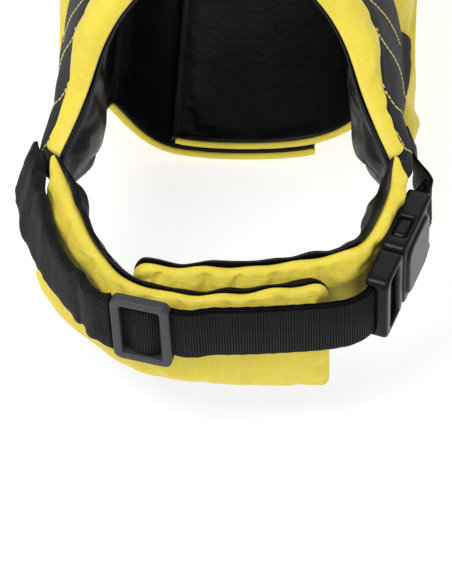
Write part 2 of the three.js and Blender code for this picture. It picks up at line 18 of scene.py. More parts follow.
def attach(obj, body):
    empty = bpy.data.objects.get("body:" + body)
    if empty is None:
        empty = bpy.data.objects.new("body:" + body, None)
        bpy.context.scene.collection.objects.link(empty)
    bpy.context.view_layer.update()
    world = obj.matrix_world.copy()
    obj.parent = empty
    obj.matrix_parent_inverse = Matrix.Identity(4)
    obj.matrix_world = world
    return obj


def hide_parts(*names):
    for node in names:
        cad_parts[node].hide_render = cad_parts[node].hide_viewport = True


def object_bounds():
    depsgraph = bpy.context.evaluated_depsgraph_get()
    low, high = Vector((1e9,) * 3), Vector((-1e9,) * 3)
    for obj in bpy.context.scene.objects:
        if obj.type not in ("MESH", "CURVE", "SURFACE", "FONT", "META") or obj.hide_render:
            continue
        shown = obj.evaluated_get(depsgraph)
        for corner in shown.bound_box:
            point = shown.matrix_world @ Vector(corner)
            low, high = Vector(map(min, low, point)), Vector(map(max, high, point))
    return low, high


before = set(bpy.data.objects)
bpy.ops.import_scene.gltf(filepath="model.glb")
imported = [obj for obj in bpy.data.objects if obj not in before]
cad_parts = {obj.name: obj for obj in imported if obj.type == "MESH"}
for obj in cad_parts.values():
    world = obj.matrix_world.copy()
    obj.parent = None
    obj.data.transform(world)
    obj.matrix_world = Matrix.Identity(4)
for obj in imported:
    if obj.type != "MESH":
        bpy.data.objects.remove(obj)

bl_info = {
    "name": "Dog life jacket",
    "version": (1, 0, 0),
    "blender": (4, 5, 0),
    "location": "3D View > Sidebar > Life Jacket",
    "description": "Padded ripstop shell, lining, neck belt and buckle of a dog life jacket",
    "category": "Object",
}

CAD_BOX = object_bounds()
MM = 0.001

# Thicknesses, in millimetres
SEAM_GAP = 0.3
LINING = 1.6
PAD = 9
COLLAR_PAD = 8.5
BAND_PAD = 6
YOKE_PAD = 6
FLAP_PAD = 3.6
PAD_EDGE = 1.4
SHELL_BASE = LINING + SEAM_GAP + 0.2

# Places along the trunk and widths on it, in millimetres
NECK_BACK_Y = -95
NECK_SLOPE = 69
HEM_Y = 155
BELLY_FRONT_Y = -50
COLLAR_WIDTH = 20
YOKE_WIDTH = 30
YOKE_SIDE_IN = 22
HEM_RISE = 14
MEAN_RADIUS = 68

# Places round the trunk, in degrees from the middle of the back
NECK_END = 76
YOKE_END = 90
ARM_TOP = 92
ARM_BACK = 122
BACK_EDGE = -NECK_END + 25 * 2 * NECK_END / 32

# The belly flaps' ends: the right one is the inner one, and the left one lies over it
FLAP_FROM = ARM_BACK + 0.3
FLAP_END = {1: 208, -1: 207}

# How full the belly is, how far the lining comes in at the shoulders, and how far the
# right side pad stands out behind the buckle
BELLY_FULL = 0.35
SOFT_IN = 6
FLARE = 7

# How full the collar's ends are, and the seam between collar and yoke at the sides
TAIL_FULL = 1.9
SEAM_FULL = 6.0
SEAM_REACH = 9

# Crowding of the rows towards the seams, on pads and on linings
PAD_CROWD = 0.55
LINING_CROWD = 0.3

# Share of extra cloth that is cut for a lining and taken up by its gathers
BODY_EASE = 1.07
BAND_EASE = 1.18


# Lines and surfaces

def smooth(x, low, high):
    """A smooth step from 0 at low to 1 at high."""
    t = np.clip((np.asarray(x, float) - low) / (high - low), 0, 1)
    return t * t * (3 - 2 * t)


def hill(x, up_from, up_to, down_from, down_to):
    """Rises to 1 between the first two places and falls back between the last two."""
    return smooth(x, up_from, up_to) * (1 - smooth(x, down_from, down_to))


def lerp(a, b, t):
    return a + (b - a) * t


def unit(v):
    return v / np.maximum(np.linalg.norm(v, axis=-1, keepdims=True), 1e-9)


def column(keys, values):
    """A smooth curve through one column of a table."""
    keys, values = np.array(keys, float), np.array(values, float)
    last = len(keys) - 1

    def curve(at):
        at = np.asarray(at, float)
        i = np.clip(np.searchsorted(keys, at, side="left") - 1, 0, last - 1)
        before, after = np.maximum(i - 1, 0), np.minimum(i + 2, last)
        span = keys[i + 1] - keys[i]
        t = np.clip((at - keys[i]) / span, 0, 1)
        slope_a = (values[i + 1] - values[before]) / (keys[i + 1] - keys[before]) * span
        slope_b = (values[after] - values[i]) / (keys[after] - keys[i]) * span
        t2, t3 = t * t, t * t * t
        return (
            values[i] * (2 * t3 - 3 * t2 + 1)
            + slope_a * (t3 - 2 * t2 + t)
            + values[i + 1] * (3 * t2 - 2 * t3)
            + slope_b * (t3 - t2)
        )

    return curve


# The trunk that the jacket goes round: place along it, half width, top and underside
TRUNK = np.array([
    (-152, 65.5, 0, -142),
    (-140, 60.5, 0, -142),
    (-127, 58.5, 0, -142),
    (-110, 61, 0, -142),
    (-85, 63.5, 0, -142),
    (-50, 64.5, 0, -142),
    (0, 65.5, 0, -141),
    (80, 63.5, -1, -133),
    (158, 57, -4, -119),
], float)
trunk_half, trunk_top, trunk_under = (column(TRUNK[:, 0], TRUNK[:, k]) for k in (1, 2, 3))


def trunk_skin(y, angle):
    """A point of the trunk itself, by its place along and its angle round."""
    a = np.radians(angle)
    top, under = trunk_top(y), trunk_under(y)
    middle = (top + under) / 2
    c = np.cos(a)
    height = np.where(c < 0, c * (1 + BELLY_FULL * (1 - c * c)), c)
    return np.stack([trunk_half(y) * np.sin(a), y + 0 * a, middle + (top - middle) * height], -1)


def trunk(y, angle, out):
    """A point of the trunk, moved out by a distance."""
    y, angle = np.broadcast_arrays(np.asarray(y, float), np.asarray(angle, float))
    along = trunk_skin(y + 0.5, angle) - trunk_skin(y - 0.5, angle)
    around = trunk_skin(y, angle + 0.5) - trunk_skin(y, angle - 0.5)
    normal = unit(np.cross(around, along))
    return trunk_skin(y, angle) + normal * np.asarray(out, float)[..., None]


def soft_in(angle, y):
    """How far the lining comes in at the shoulders, where nothing holds it out."""
    around = hill(np.abs(angle), 48, 82, 94, 122)
    return SOFT_IN * around * smooth(y, -147, -112) * (1 - smooth(y, -90, 50))


def neckline(angle):
    turned = np.minimum(np.abs(angle), NECK_END)
    return NECK_BACK_Y - NECK_SLOPE * (1 - np.cos(np.radians(turned)))


def collar_seam(angle):
    narrow = smooth(np.abs(angle), NECK_END - 22, NECK_END + 2)
    return neckline(angle) + COLLAR_WIDTH * (1 - 0.85 * narrow)


SHOULDER_Y = float(neckline(NECK_END))


def yoke_front(angle):
    return lerp(collar_seam(angle), SHOULDER_Y, smooth(np.abs(angle), NECK_END, NECK_END + 5))


def yoke_seam(angle):
    a = np.abs(angle)
    across = NECK_BACK_Y + COLLAR_WIDTH + YOKE_WIDTH - YOKE_SIDE_IN * smooth(a, 15, 80)
    return lerp(across, SHOULDER_Y + 6, smooth(a, YOKE_END - 4, YOKE_END))


def armhole(angle):
    share = np.clip((np.abs(angle) - ARM_TOP) / (ARM_BACK - ARM_TOP), 0, 1)
    return lerp(SHOULDER_Y, BELLY_FRONT_Y, share**0.8)


def hem(angle):
    return HEM_Y - HEM_RISE * smooth(np.abs(angle), 60, 150)


def crown(share):
    """The round rise of a pad from its seam, 0 to 1."""
    near = np.clip(share, 0, 1)
    return np.sqrt(1 - (1 - near) ** 2)


def cushion(distance, full, rim):
    """A pad's height by the distance to its seam, full at the rim's width."""
    return PAD_EDGE + (full - PAD_EDGE) * crown(distance / rim)


def outline_distance(outline, x, y):
    """The distance from points to the nearest side of a closed outline."""
    best = np.full(np.shape(x), 1e9)
    for (ax, ay), (bx, by) in zip(outline, np.roll(outline, -1, axis=0)):
        dx, dy = bx - ax, by - ay
        t = np.clip(((x - ax) * dx + (y - ay) * dy) / max(dx * dx + dy * dy, 1e-9), 0, 1)
        best = np.minimum(best, np.hypot(x - ax - t * dx, y - ay - t * dy))
    return best


def crowded(count, share):
    """Steps from 0 to 1 that crowd towards both ends."""
    t = np.linspace(0, 1, count + 1)
    return lerp(t, (1 - np.cos(np.pi * t)) / 2, share)


# Folds

WAVES = 7
FULL_TURN = 6.2832


def wander(seed):
    """A slow random wave of one number, summed from a few sine waves."""
    dice = np.random.default_rng(seed)
    phase, weight = dice.uniform(0, 6.28, WAVES), dice.uniform(0.4, 1, WAVES)
    even_out = 0.62 * WAVES**0.5 * 1.1

    def wave(x, length):
        total = 0
        for k in range(WAVES):
            total = total + weight[k] * np.sin(FULL_TURN * x / length * (0.55 + 0.27 * k) + phase[k])
        return total / even_out

    return wave


def pinches(seed, length, spacing):
    """Places along a seam where the cloth is gathered: centre, width, strength, reach."""
    dice = np.random.default_rng(seed)
    places, at = [], dice.uniform(0.2, 0.8) * spacing
    while at < length:
        places.append((at, dice.uniform(0.9, 1.9), dice.uniform(0.35, 1), dice.uniform(4, 12)))
        at += spacing * dice.uniform(0.55, 1.6)
    return places


def deeper(places, wider):
    """The same gathers, wider and reaching further, as in a loose lining."""
    return [(at, wider * width, strength, 3 * reach) for at, width, strength, reach in places]


def gathers(places, along, away, lean=0.25):
    """How deep the gathers of a seam press a surface in, 0 to 1."""
    depth = np.zeros(np.broadcast(along, away).shape)
    for k, (at, width, strength, reach) in enumerate(places):
        swing = lean * (1 if k % 2 else -1)
        near = np.exp(-(((along - at - swing * away) / (width + 0.12 * away)) ** 2))
        depth = np.maximum(depth, strength * near * np.exp(-((away / reach) ** 2)))
    return depth


# Meshes

def link_object(name, data):
    obj = bpy.data.objects.new(name, data)
    bpy.context.scene.collection.objects.link(obj)
    return obj


@contextmanager
def editing(mesh):
    """Opens a mesh for bmesh's tools and writes it back."""
    work = bmesh.new()
    work.from_mesh(mesh)
    yield work
    work.to_mesh(mesh)
    work.free()
    mesh.update()


def new_object(name, verts, faces, uv=None):
    """verts in millimetres; uv, also in millimetres, is one pair for each vertex."""
    mesh = bpy.data.meshes.new(name)
    mesh.from_pydata((np.asarray(verts, float) * MM).tolist(), [], faces)
    if uv is not None:
        layer = mesh.uv_layers.new(name="cut")
        corners = np.zeros(len(mesh.loops), np.int64)
        mesh.loops.foreach_get("vertex_index", corners)
        layer.data.foreach_set("uv", (np.asarray(uv, float)[corners] * MM).ravel())
    mesh.validate()
    mesh.update()
    return link_object(name, mesh)


def grid_faces(rows, cols, start=0, flip=False, loop=False):
    """The quads of a grid whose first vertex has the number start."""
    i, j = np.meshgrid(np.arange(rows - 1), np.arange(cols if loop else cols - 1), indexing="ij")
    a = start + i * cols + j
    b = start + i * cols + (j + 1) % cols
    quads = np.stack([a, a + cols, b + cols, b], -1).reshape(-1, 4)
    return quads[:, ::-1].tolist() if flip else quads.tolist()


def slab_object(name, outer, inner, uv):
    """A closed shell between two grids, outer over inner, with its normals out."""
    rows, cols = outer.shape[:2]
    low = rows * cols
    faces = grid_faces(rows, cols) + grid_faces(rows, cols, low, flip=True)
    for i in range(rows - 1):
        a, b = i * cols, (i + 1) * cols
        faces.append([a, low + a, low + b, b])
        faces.append([a + cols - 1, b + cols - 1, low + b + cols - 1, low + a + cols - 1])
    for j in range(cols - 1):
        a, b = j, (rows - 1) * cols + j
        faces.append([a, a + 1, low + a + 1, low + a])
        faces.append([b, low + b, low + b + 1, b + 1])
    verts = np.concatenate([outer.reshape(-1, 3), inner.reshape(-1, 3)])
    both = np.concatenate([uv.reshape(-1, 2), uv.reshape(-1, 2)])
    return turn_out(new_object(name, verts, faces, both))


def turn_out(obj):
    """Turns the faces of a closed piece out, where they all point in."""
    with editing(obj.data) as work:
        if work.calc_volume(signed=True) < 0:
            bmesh.ops.reverse_faces(work, faces=work.faces[:])
    return obj


def shade(obj):
    obj.data.polygons.foreach_set("use_smooth", [True] * len(obj.data.polygons))
    obj.data.update()
    return obj


def bake_modifiers(obj):
    """The evaluated shape becomes the plain mesh, and its modifiers go."""
    depsgraph = bpy.context.evaluated_depsgraph_get()
    depsgraph.update()
    mesh = bpy.data.meshes.new_from_object(obj.evaluated_get(depsgraph))
    old = obj.data
    obj.modifiers.clear()
    obj.data = mesh
    bpy.data.meshes.remove(old)
    mesh.name = obj.name
    return obj


def subdivide(obj):
    mod = obj.modifiers.new("Round", "SUBSURF")
    mod.levels = mod.render_levels = 1
    mod.boundary_smooth = "PRESERVE_CORNERS"
    return bake_modifiers(obj)


# The cloth solver works on a garment ten times as large, for so many frames, and
# moves it along its own surface by this much at the most, in millimetres
SIM_SCALE = 10.0
SIM_FRAMES = 16
MOST_ALONG = 1.2


def settle_cloth(outer, hold, push, grow):
    """Lets the outer face of a pad fill and pucker between its sewn edges.

    outer is a grid in millimetres and hold its pinning, 1 on a seam. The cloth is cut
    larger than its place by grow, and push is the pressure of the foam behind it.
    """
    rows, cols = outer.shape[:2]
    obj = new_object("settling", outer.reshape(-1, 3) * SIM_SCALE, grid_faces(rows, cols))
    group = obj.vertex_groups.new(name="sewn")
    weights = hold.ravel()
    for value in np.unique(np.round(weights, 1)):
        if value > 0:
            group.add(np.flatnonzero(np.round(weights, 1) == value).tolist(), float(value), "REPLACE")
    cloth = obj.modifiers.new("Cloth", "CLOTH")
    settings = cloth.settings
    settings.quality = 5
    settings.mass = 0.25
    settings.tension_stiffness = settings.compression_stiffness = 12
    settings.shear_stiffness = 4
    settings.bending_stiffness = 0.35
    settings.air_damping = 3
    settings.vertex_group_mass = "sewn"
    settings.pin_stiffness = 4
    settings.shrink_min = -grow
    settings.use_pressure = True
    settings.uniform_pressure_force = push
    settings.effector_weights.gravity = 0
    cloth.collision_settings.use_collision = False
    cloth.collision_settings.use_self_collision = False
    scene = bpy.context.scene
    cloth.point_cache.frame_start, cloth.point_cache.frame_end = 1, SIM_FRAMES
    for number in range(1, SIM_FRAMES + 1):
        scene.frame_set(number)
    depsgraph = bpy.context.evaluated_depsgraph_get()
    mesh = obj.evaluated_get(depsgraph).data
    settled = np.zeros(len(mesh.vertices) * 3)
    mesh.vertices.foreach_get("co", settled)
    bpy.data.objects.remove(obj)
    scene.frame_set(1)
    return settled.reshape(rows, cols, 3) / (SIM_SCALE * MM)


def soft_limit(x, most):
    """A move that slows down as it nears its limit."""
    return most * np.tanh(x / most)


def filled(outer, hold, out_most, in_most, push, grow, side):
    """The outer grid after the cloth has settled, moved no further than the limits."""
    move = settle_cloth(outer, hold, push * side, grow) - outer
    normal = unit(np.cross(np.gradient(outer, axis=0), np.gradient(outer, axis=1))) * side
    height = (move * normal).sum(-1)
    flat = move - height[..., None] * normal
    length = np.linalg.norm(flat, axis=-1, keepdims=True)
    flat = flat * (np.tanh(length / MOST_ALONG) * MOST_ALONG / np.maximum(length, 1e-6))
    height = np.where(height > 0, soft_limit(height, np.maximum(out_most, 0.01)),
                      soft_limit(height, in_most))
    return outer + (height[..., None] * normal + flat) * (1 - hold)[..., None]


# Soft pieces on the trunk

def sided(name, side):
    """The name of a right or left piece; side is 1 on the right and -1 on the left."""
    return name + ("_right" if side > 0 else "_left")


def trunk_places(a0, a1, front, rear, step, crowd):
    """Rows and columns over a piece of the trunk, with the distance to its outline."""
    rows = max(8, int(abs(math.radians(a1 - a0)) * MEAN_RADIUS / step))
    angle = lerp(a0, a1, crowded(rows, crowd))
    width = float(np.mean(rear(angle) - front(angle)))
    share = crowded(max(8, int(width / step)), crowd)
    y = lerp(front(angle)[:, None], rear(angle)[:, None], share[None, :])
    angles = np.repeat(angle[:, None], len(share), 1)
    across = np.radians(angles) * MEAN_RADIUS
    edge = np.radians(angle[::2]) * MEAN_RADIUS
    outline = np.concatenate([
        np.stack([edge, front(angle[::2])], -1),
        np.stack([edge, rear(angle[::2])], -1)[::-1],
    ])
    return angles, y, across, outline_distance(outline, across, y)


def trunk_pad(name, a0, a1, front, rear, base, thick, *, step, seed, gather, spacing, wrap=0,
              grow=0.05, push=2.5, out_most=1.2, in_most=1.6, grain=None):
    """A padded shell on the trunk: crowned, gathered at its seams, then settled.

    a0 and a1 are its ends round the trunk, front and rear its ends along it by angle,
    base the height of its inner face and thick its thickness. gather is the depth of
    the gathers and spacing their distance, and wrap lets the inner face down in front.
    """
    angle, y, across, distance = trunk_places(a0, a1, front, rear, step, PAD_CROWD)
    side = 1 if a1 > a0 else -1
    depth = base(angle) - 0.6 * soft_in(angle, y)
    height = thick(distance, angle, y)
    ahead, behind = y - front(angle), rear(angle) - y
    length = float(np.ptp(across))
    start = np.abs(across - across[0, 0])
    end_places = pinches(seed + 2, 400, spacing), pinches(seed + 3, 400, spacing)
    pinch = np.maximum.reduce([
        gathers(pinches(seed, length, spacing), start, ahead),
        gathers(pinches(seed + 1, length, spacing), start, behind),
        0.8 * gathers(end_places[0], y - y.min(), start),
        0.8 * gathers(end_places[1], y - y.min(), length - start),
    ])
    wave = wander(seed + 4)(across + 0.6 * y, 46) * wander(seed + 5)(y - 0.4 * across, 58)
    inside = smooth(distance, 0.5, 6)
    height = height - gather * pinch * smooth(distance, 0.2, 2) * np.minimum(1, height / 3)
    height = height + 0.35 * wave * inside * np.minimum(1, height / 8)
    hold = 1 - smooth(distance, 0.8, 5)
    outer = filled(trunk(y, angle, depth + height), hold, out_most, in_most, push, grow, side)
    inner = trunk(y, angle, depth - wrap * (1 - smooth(ahead, 1.0, 2.6)))
    uv = np.stack([across, y - (grain(angle) if grain else 0)], -1)
    return shade(subdivide(slab_object(name, outer, inner, uv)))


def flat_at(value):
    return lambda angle: np.full(np.shape(angle), float(value))


shell_base = flat_at(SHELL_BASE)


def shoulder(angle, y):
    """Extra padding of the yoke, from its sides to the shoulders."""
    return smooth(np.abs(angle), 48, 76) * lerp(1, 6, 1 - smooth(y, -128, -82))


def collar_tail(distance, angle):
    """The narrow end of the collar stays round where it runs into the chest band."""
    return TAIL_FULL * smooth(np.abs(angle), NECK_END - 7, NECK_END - 2) * crown(distance / 1.4)


def full_seam(angle, y):
    """At the sides the seam between collar and yoke lies over full padding."""
    at_side = hill(np.abs(angle), 30, 54, 67, 74)
    return SEAM_FULL * at_side * np.exp(-(((y - collar_seam(angle)) / SEAM_REACH) ** 2))


def make_collar():
    end = NECK_END + 1.6
    return trunk_pad(
        "collar_shell", -end, end, neckline, lambda a: collar_seam(a) - 0.1, shell_base,
        lambda d, a, y: np.hypot(cushion(d, COLLAR_PAD, 7) + collar_tail(d, a), full_seam(a, y)),
        step=1.35, seed=11, gather=1.9, spacing=12, grow=0.06, grain=neckline,
    )


def make_yoke():
    def rear(angle):
        a = np.abs(angle)
        return yoke_seam(a + 0.9) - 0.1 - 1.6 * smooth(a, YOKE_END - 10, YOKE_END - 5)

    def thick(distance, angle, y):
        link = np.exp(-(((np.abs(angle) - 76) / 4) ** 2) - ((y - SHOULDER_Y) / 6) ** 2)
        full = cushion(distance, YOKE_PAD + shoulder(angle, y), 9) * (1 - 0.55 * link)
        full_tip = YOKE_PAD + np.where(angle > 0, 3, 1)
        tip = smooth(np.abs(angle), 77, 82) * (PAD_EDGE + full_tip * crown(distance / 3.5))
        return np.hypot(np.maximum(full, tip), full_seam(angle, y))

    return trunk_pad(
        "yoke_panel", -YOKE_END, YOKE_END, yoke_front, rear, shell_base, thick,
        step=1.7, seed=23, gather=0.5, spacing=30, grow=0.02, out_most=0.5, in_most=0.6,
    )


def make_back_pad():
    return trunk_pad(
        "back_panel", -BACK_EDGE, BACK_EDGE, yoke_seam, hem, shell_base,
        lambda d, a, y: cushion(d, PAD, 12), step=2.1, seed=37, gather=1.6, spacing=15, out_most=1.4,
    )


def make_side_pad(side):
    def front(angle):
        under = smooth(np.abs(angle), YOKE_END, YOKE_END + 1.6)
        return np.maximum(lerp(yoke_seam(angle), SHOULDER_Y, under), armhole(angle))

    def thick(distance, angle, y):
        pushed = 0
        if side > 0:
            pushed = FLARE * smooth(np.abs(angle), 82, 96) * (1 - smooth(y, -115, -45))
        return cushion(distance, PAD, 12) + pushed * crown(distance / 9)

    return trunk_pad(
        sided("side_panel", side), side * BACK_EDGE, side * ARM_BACK, front, hem, shell_base, thick,
        step=2.1, seed=41 if side > 0 else 53, gather=1.6, spacing=15,
    )


def flap_base(angle, side, base):
    """The left flap rises over the right one."""
    step = LINING + FLAP_PAD + 3 * SEAM_GAP + 0.5 if side < 0 else 0
    return step * smooth(np.abs(angle), ARM_BACK + 4, ARM_BACK + 34) + base


def make_belly_flap(side):
    # the inner flap's shell stops short of its lining, whose dark rim covers the yellow end as painted
    # shade
    cut_back_for_shade = 1.6 if side > 0 else 0
    return trunk_pad(
        sided("belly_shell", side), side * FLAP_FROM, side * (FLAP_END[side] - cut_back_for_shade),
        flat_at(BELLY_FRONT_Y), hem, lambda a: flap_base(a, side, LINING + SEAM_GAP),
        lambda d, a, y: cushion(d, FLAP_PAD, 7), step=2.2, seed=67 if side > 0 else 61,
        gather=0.5, spacing=13, wrap=LINING, grow=0.025, push=1, out_most=0.3, in_most=0.8,
    )


def thin_lining(name, a0, a1, front, rear, base, *, step, seed, fold, shade_binding):
    """A lining: a thin cloth on the inside, drawn to the seams and loose between them.

    fold is the depth of its folds, and the last argument the height of a dark rim of lining at its end a1,
    painted shade over the shell's yellow end.
    """
    angle, y, across, distance = trunk_places(a0, a1, front, rear, step, LINING_CROWD)
    side = 1 if a1 > a0 else -1
    turned = np.abs(angle)
    at_edge = 1 - crown(distance / 3)
    depth = base(angle)
    ahead = y - front(angle)
    length = float(np.ptp(across))
    start = np.abs(across - across[0, 0])
    loose = smooth(distance, 1, 10)
    near_neck = 1 - smooth(ahead, 25, 70)
    pinch = np.maximum(
        gathers(deeper(pinches(seed, length, 17), 2.2), start, ahead, 0.5),
        0.5 * gathers(pinches(seed + 1, length, 14), start, rear(angle) - y),
    )
    wave = wander(seed + 2)(across + 0.3 * y, 64) * (0.5 + 0.5 * near_neck)
    turn_in = hill(turned, 50, 66, 84, 100) * near_neck
    swell = fold * loose * (0.35 * wave + (0.4 + 0.7 * turn_in) * near_neck)
    swell = swell - fold * (1.1 + 1.0 * turn_in) * pinch * loose
    inner = trunk(y, angle, depth + LINING * 0.75 * at_edge - soft_in(angle, y) - swell)
    hold = 1 - smooth(distance, 1, 7)
    inner = filled(inner, hold, 1.5 * fold, 1.1 * fold, 1.6, 0.06, -side)
    # painted shade: the lining stands up in a dark rim at its end a1, over the shell's yellow end
    shade_rim = shade_binding * smooth(turned, abs(a1) - 1.9, abs(a1) - 0.7)
    outer = trunk(y, angle, depth + LINING - soft_in(angle, y) - 0.35 * (1 - at_edge) + shade_rim)
    return shade(slab_object(name, outer, inner, np.stack([across, y], -1)))


def body_front(angle):
    return np.maximum(neckline(angle), armhole(angle))


def make_body_lining():
    return thin_lining(
        "body_lining_cloth", -ARM_BACK, ARM_BACK, body_front, hem, flat_at(0),
        step=2.0, seed=71, fold=2.1, shade_binding=0.0,
    )


def make_belly_lining(side):
    return thin_lining(
        sided("belly_lining_cloth", side), side * FLAP_FROM, side * FLAP_END[side],
        flat_at(BELLY_FRONT_Y + 1.4), lambda a: hem(a) - 1.0, lambda a: flap_base(a, side, 0),
        # the right lining's dark rim over the inner flap's end is painted shade
        step=2.6, seed=83 if side > 0 else 79, fold=0.45, shade_binding=2.6 if side > 0 else 0.0,
    )


# Chest bands. Columns: place along the band, x, y, top seam, low seam, how far the low seam
# stands out, and how far the inner face bows in
INNER_BAND = np.array([
    (0, 63.6, -147.7, -54.5, -80, 1, 0),
    (1, 62, -158, -60, -98, 0, 6),
    (2, 57, -170.5, -65, -107, 0, 6.5),
    (3, 46, -180.5, -69, -113, 2, 6),
    (4, 19, -184.5, -71, -116, 0, 3),
    (5, -7, -186, -71.5, -116, 0, 2.5),
    (6, -33.5, -184, -71.5, -115, 0, 1),
], float)
OUTER_BAND = np.array([
    (0, -63.6, -147.7, -54.5, -80, 1, 0),
    (1, -58, -157.5, -59, -101, 14, 6),
    (2, -54, -168, -63, -111, 12, 7),
    (3, -44, -183, -69, -117, 5, 5),
    (4, -27, -196.2, -73, -121, 0, 0.5),
    (5, 5, -197, -73.5, -125, 0, 0),
    (6, 41, -192.5, -71.5, -130, 0, 0),
], float)

# The last place along a band, its usual height, the rounding of its free end's corners,
# and how far its top seam comes down where it meets the collar
BAND_LAST = 6.0
BAND_TALL = 44
TOP_CORNER, LOW_CORNER = 7.0, 4.0
MEET_DOWN = 3.2


class Band:
    """A chest band: s runs along it, and v down across it from 0 to 1."""

    def __init__(self, table, side):
        self.side = side
        self.x, self.y, self.top, self.low, self.lean, self.fill = (
            column(table[:, 0], table[:, k]) for k in range(1, 7)
        )
        fine = np.linspace(0, BAND_LAST, 601)
        walk = np.hypot(np.diff(self.x(fine)), np.diff(self.y(fine)))
        self.length = np.concatenate([[0], np.cumsum(walk)])
        self.fine = fine
        self.wave = wander(151 if side > 0 else 157)

    def rise(self, s, v):
        """The top seam isn't straight: it is drawn down in places by the gathers."""
        at = self.along(s)
        meet = MEET_DOWN * (1 - smooth(at, 0, 10)) * (1 - v) ** 1.5
        return meet + smooth(at, 4, 14) * (1 - v) ** 3 * (0.9 * self.wave(at, 38) - 0.2)

    def along(self, s):
        return np.interp(s, self.fine, self.length)

    def tall(self, s):
        return self.top(s) - self.low(s)

    def at(self, s, v, out, bowed):
        """Places on the band, moved out, on the flat side or on the bowed inner one."""
        before, after = np.clip(s - 0.05, 0, BAND_LAST), np.clip(s + 0.05, 0, BAND_LAST)
        run = unit(np.stack([
            self.x(after) - self.x(before), self.y(after) - self.y(before), 0 * s,
        ], -1))
        normal = np.stack([-self.side * run[..., 1], self.side * run[..., 0], 0 * s], -1)
        inwards = self.fill(s) * np.sin(np.pi * np.clip(v, 0, 1) ** 0.7) if bowed else 0
        down = lerp(self.top(s), self.low(s), v) + self.rise(s, v)
        place = np.stack([self.x(s), self.y(s), down], -1)
        return place + normal * (out + self.lean(s) * v - inwards)[..., None]

    def end(self, v):
        """Where the free end is along the band, with its corners rounded."""
        tall = float(self.tall(BAND_LAST))
        total = self.length[-1]
        for away, radius in ((v * tall, TOP_CORNER), ((1 - v) * tall, LOW_CORNER)):
            short = np.clip(1 - away / radius, 0, 1)
            total = total - radius * (1 - np.sqrt(1 - short**2))
        return total

    def grid(self, step):
        rows = crowded(int(self.length[-1] / step), PAD_CROWD)
        share, v = np.meshgrid(rows, crowded(int(BAND_TALL / step), PAD_CROWD), indexing="ij")
        return np.interp(share * self.end(v), self.length, self.fine, right=BAND_LAST), v

    def edge(self, s, v):
        """The distance to the band's outline."""
        tall = self.tall(s)
        at = self.along(s)
        away = np.minimum(at, self.end(v) - at)
        return np.clip(np.minimum(away, tall * np.minimum(v, 1 - v)), 0, None)

    def uv(self, s, v):
        return np.stack([self.along(s), lerp(self.top(s), self.low(s), v)], -1)


BANDS = {1: Band(INNER_BAND, 1), -1: Band(OUTER_BAND, -1)}


def band_pressed(s, v, side):
    """How much the buckle or the sleeve presses a band in."""
    if side > 0:
        return 3.8 * smooth(s, 0.1, 0.5) * (1 - smooth(s, 2.4, 3)) * smooth(v, 0.04, 0.15)
    return 1.7 * smooth(s, 0.2, 0.8) * (1 - smooth(s, 3, 3.6)) * smooth(v, 0.08, 0.2)


def make_band(side):
    band = BANDS[side]
    s, v = band.grid(1.35)
    edge = band.edge(s, v)
    pressed = band_pressed(s, v, side)
    height = cushion(edge, BAND_PAD - pressed, 9)
    along = band.along(s)
    if side > 0:
        full = 3.0 * smooth(along, 1, 6) * (1 - smooth(along, 7, 14))
        height = height + full * crown(BAND_TALL * v / 5) * (1 - smooth(v, 0.35, 0.65))
    height = PAD_EDGE + (height - PAD_EDGE) * lerp(0.45, 1, smooth(along, 0, 6))
    seed = 97 if side > 0 else 103
    down, up = v * band.tall(s), (1 - v) * band.tall(s)
    total = band.length[-1]
    pinch = np.maximum.reduce([
        gathers(pinches(seed, total, 13), along, down, 0.35),
        gathers(pinches(seed + 1, total, 13), along, up),
        0.8 * gathers(pinches(seed + 2, 60, 12), down, total - along),
    ])
    height = height - 2.0 * pinch * smooth(edge, 0.2, 2) * np.minimum(1, height / 4)
    # a few broad dents where the band is bent, as on a folded pad
    wave = wander(seed + 3)(along + 0.3 * down, 44)
    height = height + 0.4 * wave * smooth(edge, 1, 8) * (1 - smooth(pressed, 0, 1))
    base = LINING + SEAM_GAP
    outer = band.at(s, v, base + height, False)
    # the belt lies on the middle of the band, where the cloth can't rise
    under_belt = smooth(down, 8, 12)
    hold = 1 - smooth(edge, 0.8, 5)
    outer = filled(outer, hold, 1.3 * (1 - under_belt) + 0.15, 1.5, 2.5, 0.06, side)
    inner = band.at(s, v, np.full(s.shape, base), True)
    return shade(subdivide(slab_object(sided("chest_band_shell", side), outer, inner, band.uv(s, v))))


def make_band_lining(side):
    band = BANDS[side]
    s, v = band.grid(1.5)
    edge = band.edge(s, v)
    at_edge = 1 - crown(edge / 3)
    along = band.along(s)
    down = v * band.tall(s)
    seed = 113 if side > 0 else 127
    room = np.clip(band.fill(s) / 6, 0.12, 1)
    pinch = gathers(deeper(pinches(seed, band.length[-1], 16), 2.0), along, down, 0.6)
    wave = wander(seed + 2)(along + 0.5 * down, 50)
    swell = room * smooth(edge, 1, 9) * (1.2 + 1.1 * wave - 3.4 * pinch)
    inner = band.at(s, v, LINING * 0.75 * at_edge - swell, True)
    hold = 1 - smooth(edge, 1, 6)
    inner = filled(inner, hold, 2.0 * room, 1.6 * room, 2, 0.07, -side)
    outer = band.at(s, v, LINING - 0.3 * (1 - at_edge), True)
    # the lining's top edge stands a little over the band's seam
    over = np.clip(1.9 + 0.9 * wander(seed + 5)(along, 30), 0.8, 3.2) * smooth(along, 3, 10)
    lift = (over * np.exp(-((down / 4.0) ** 2)))[..., None] * np.array([0, 0, 1.0])
    name = sided("chest_band_lining_cloth", side)
    return shade(subdivide(slab_object(name, outer + lift * 0.8, inner + lift, band.uv(s, v))))


# Webbing, buckle and slider places

# A strap's width and thickness, how much its edges wander, and how far the ribs stand
# over its faces
WEB_WIDTH, WEB_THICK = 25.0, 1.5
EDGE_SWAY = 0.12
RIB_PROUD = 0.12

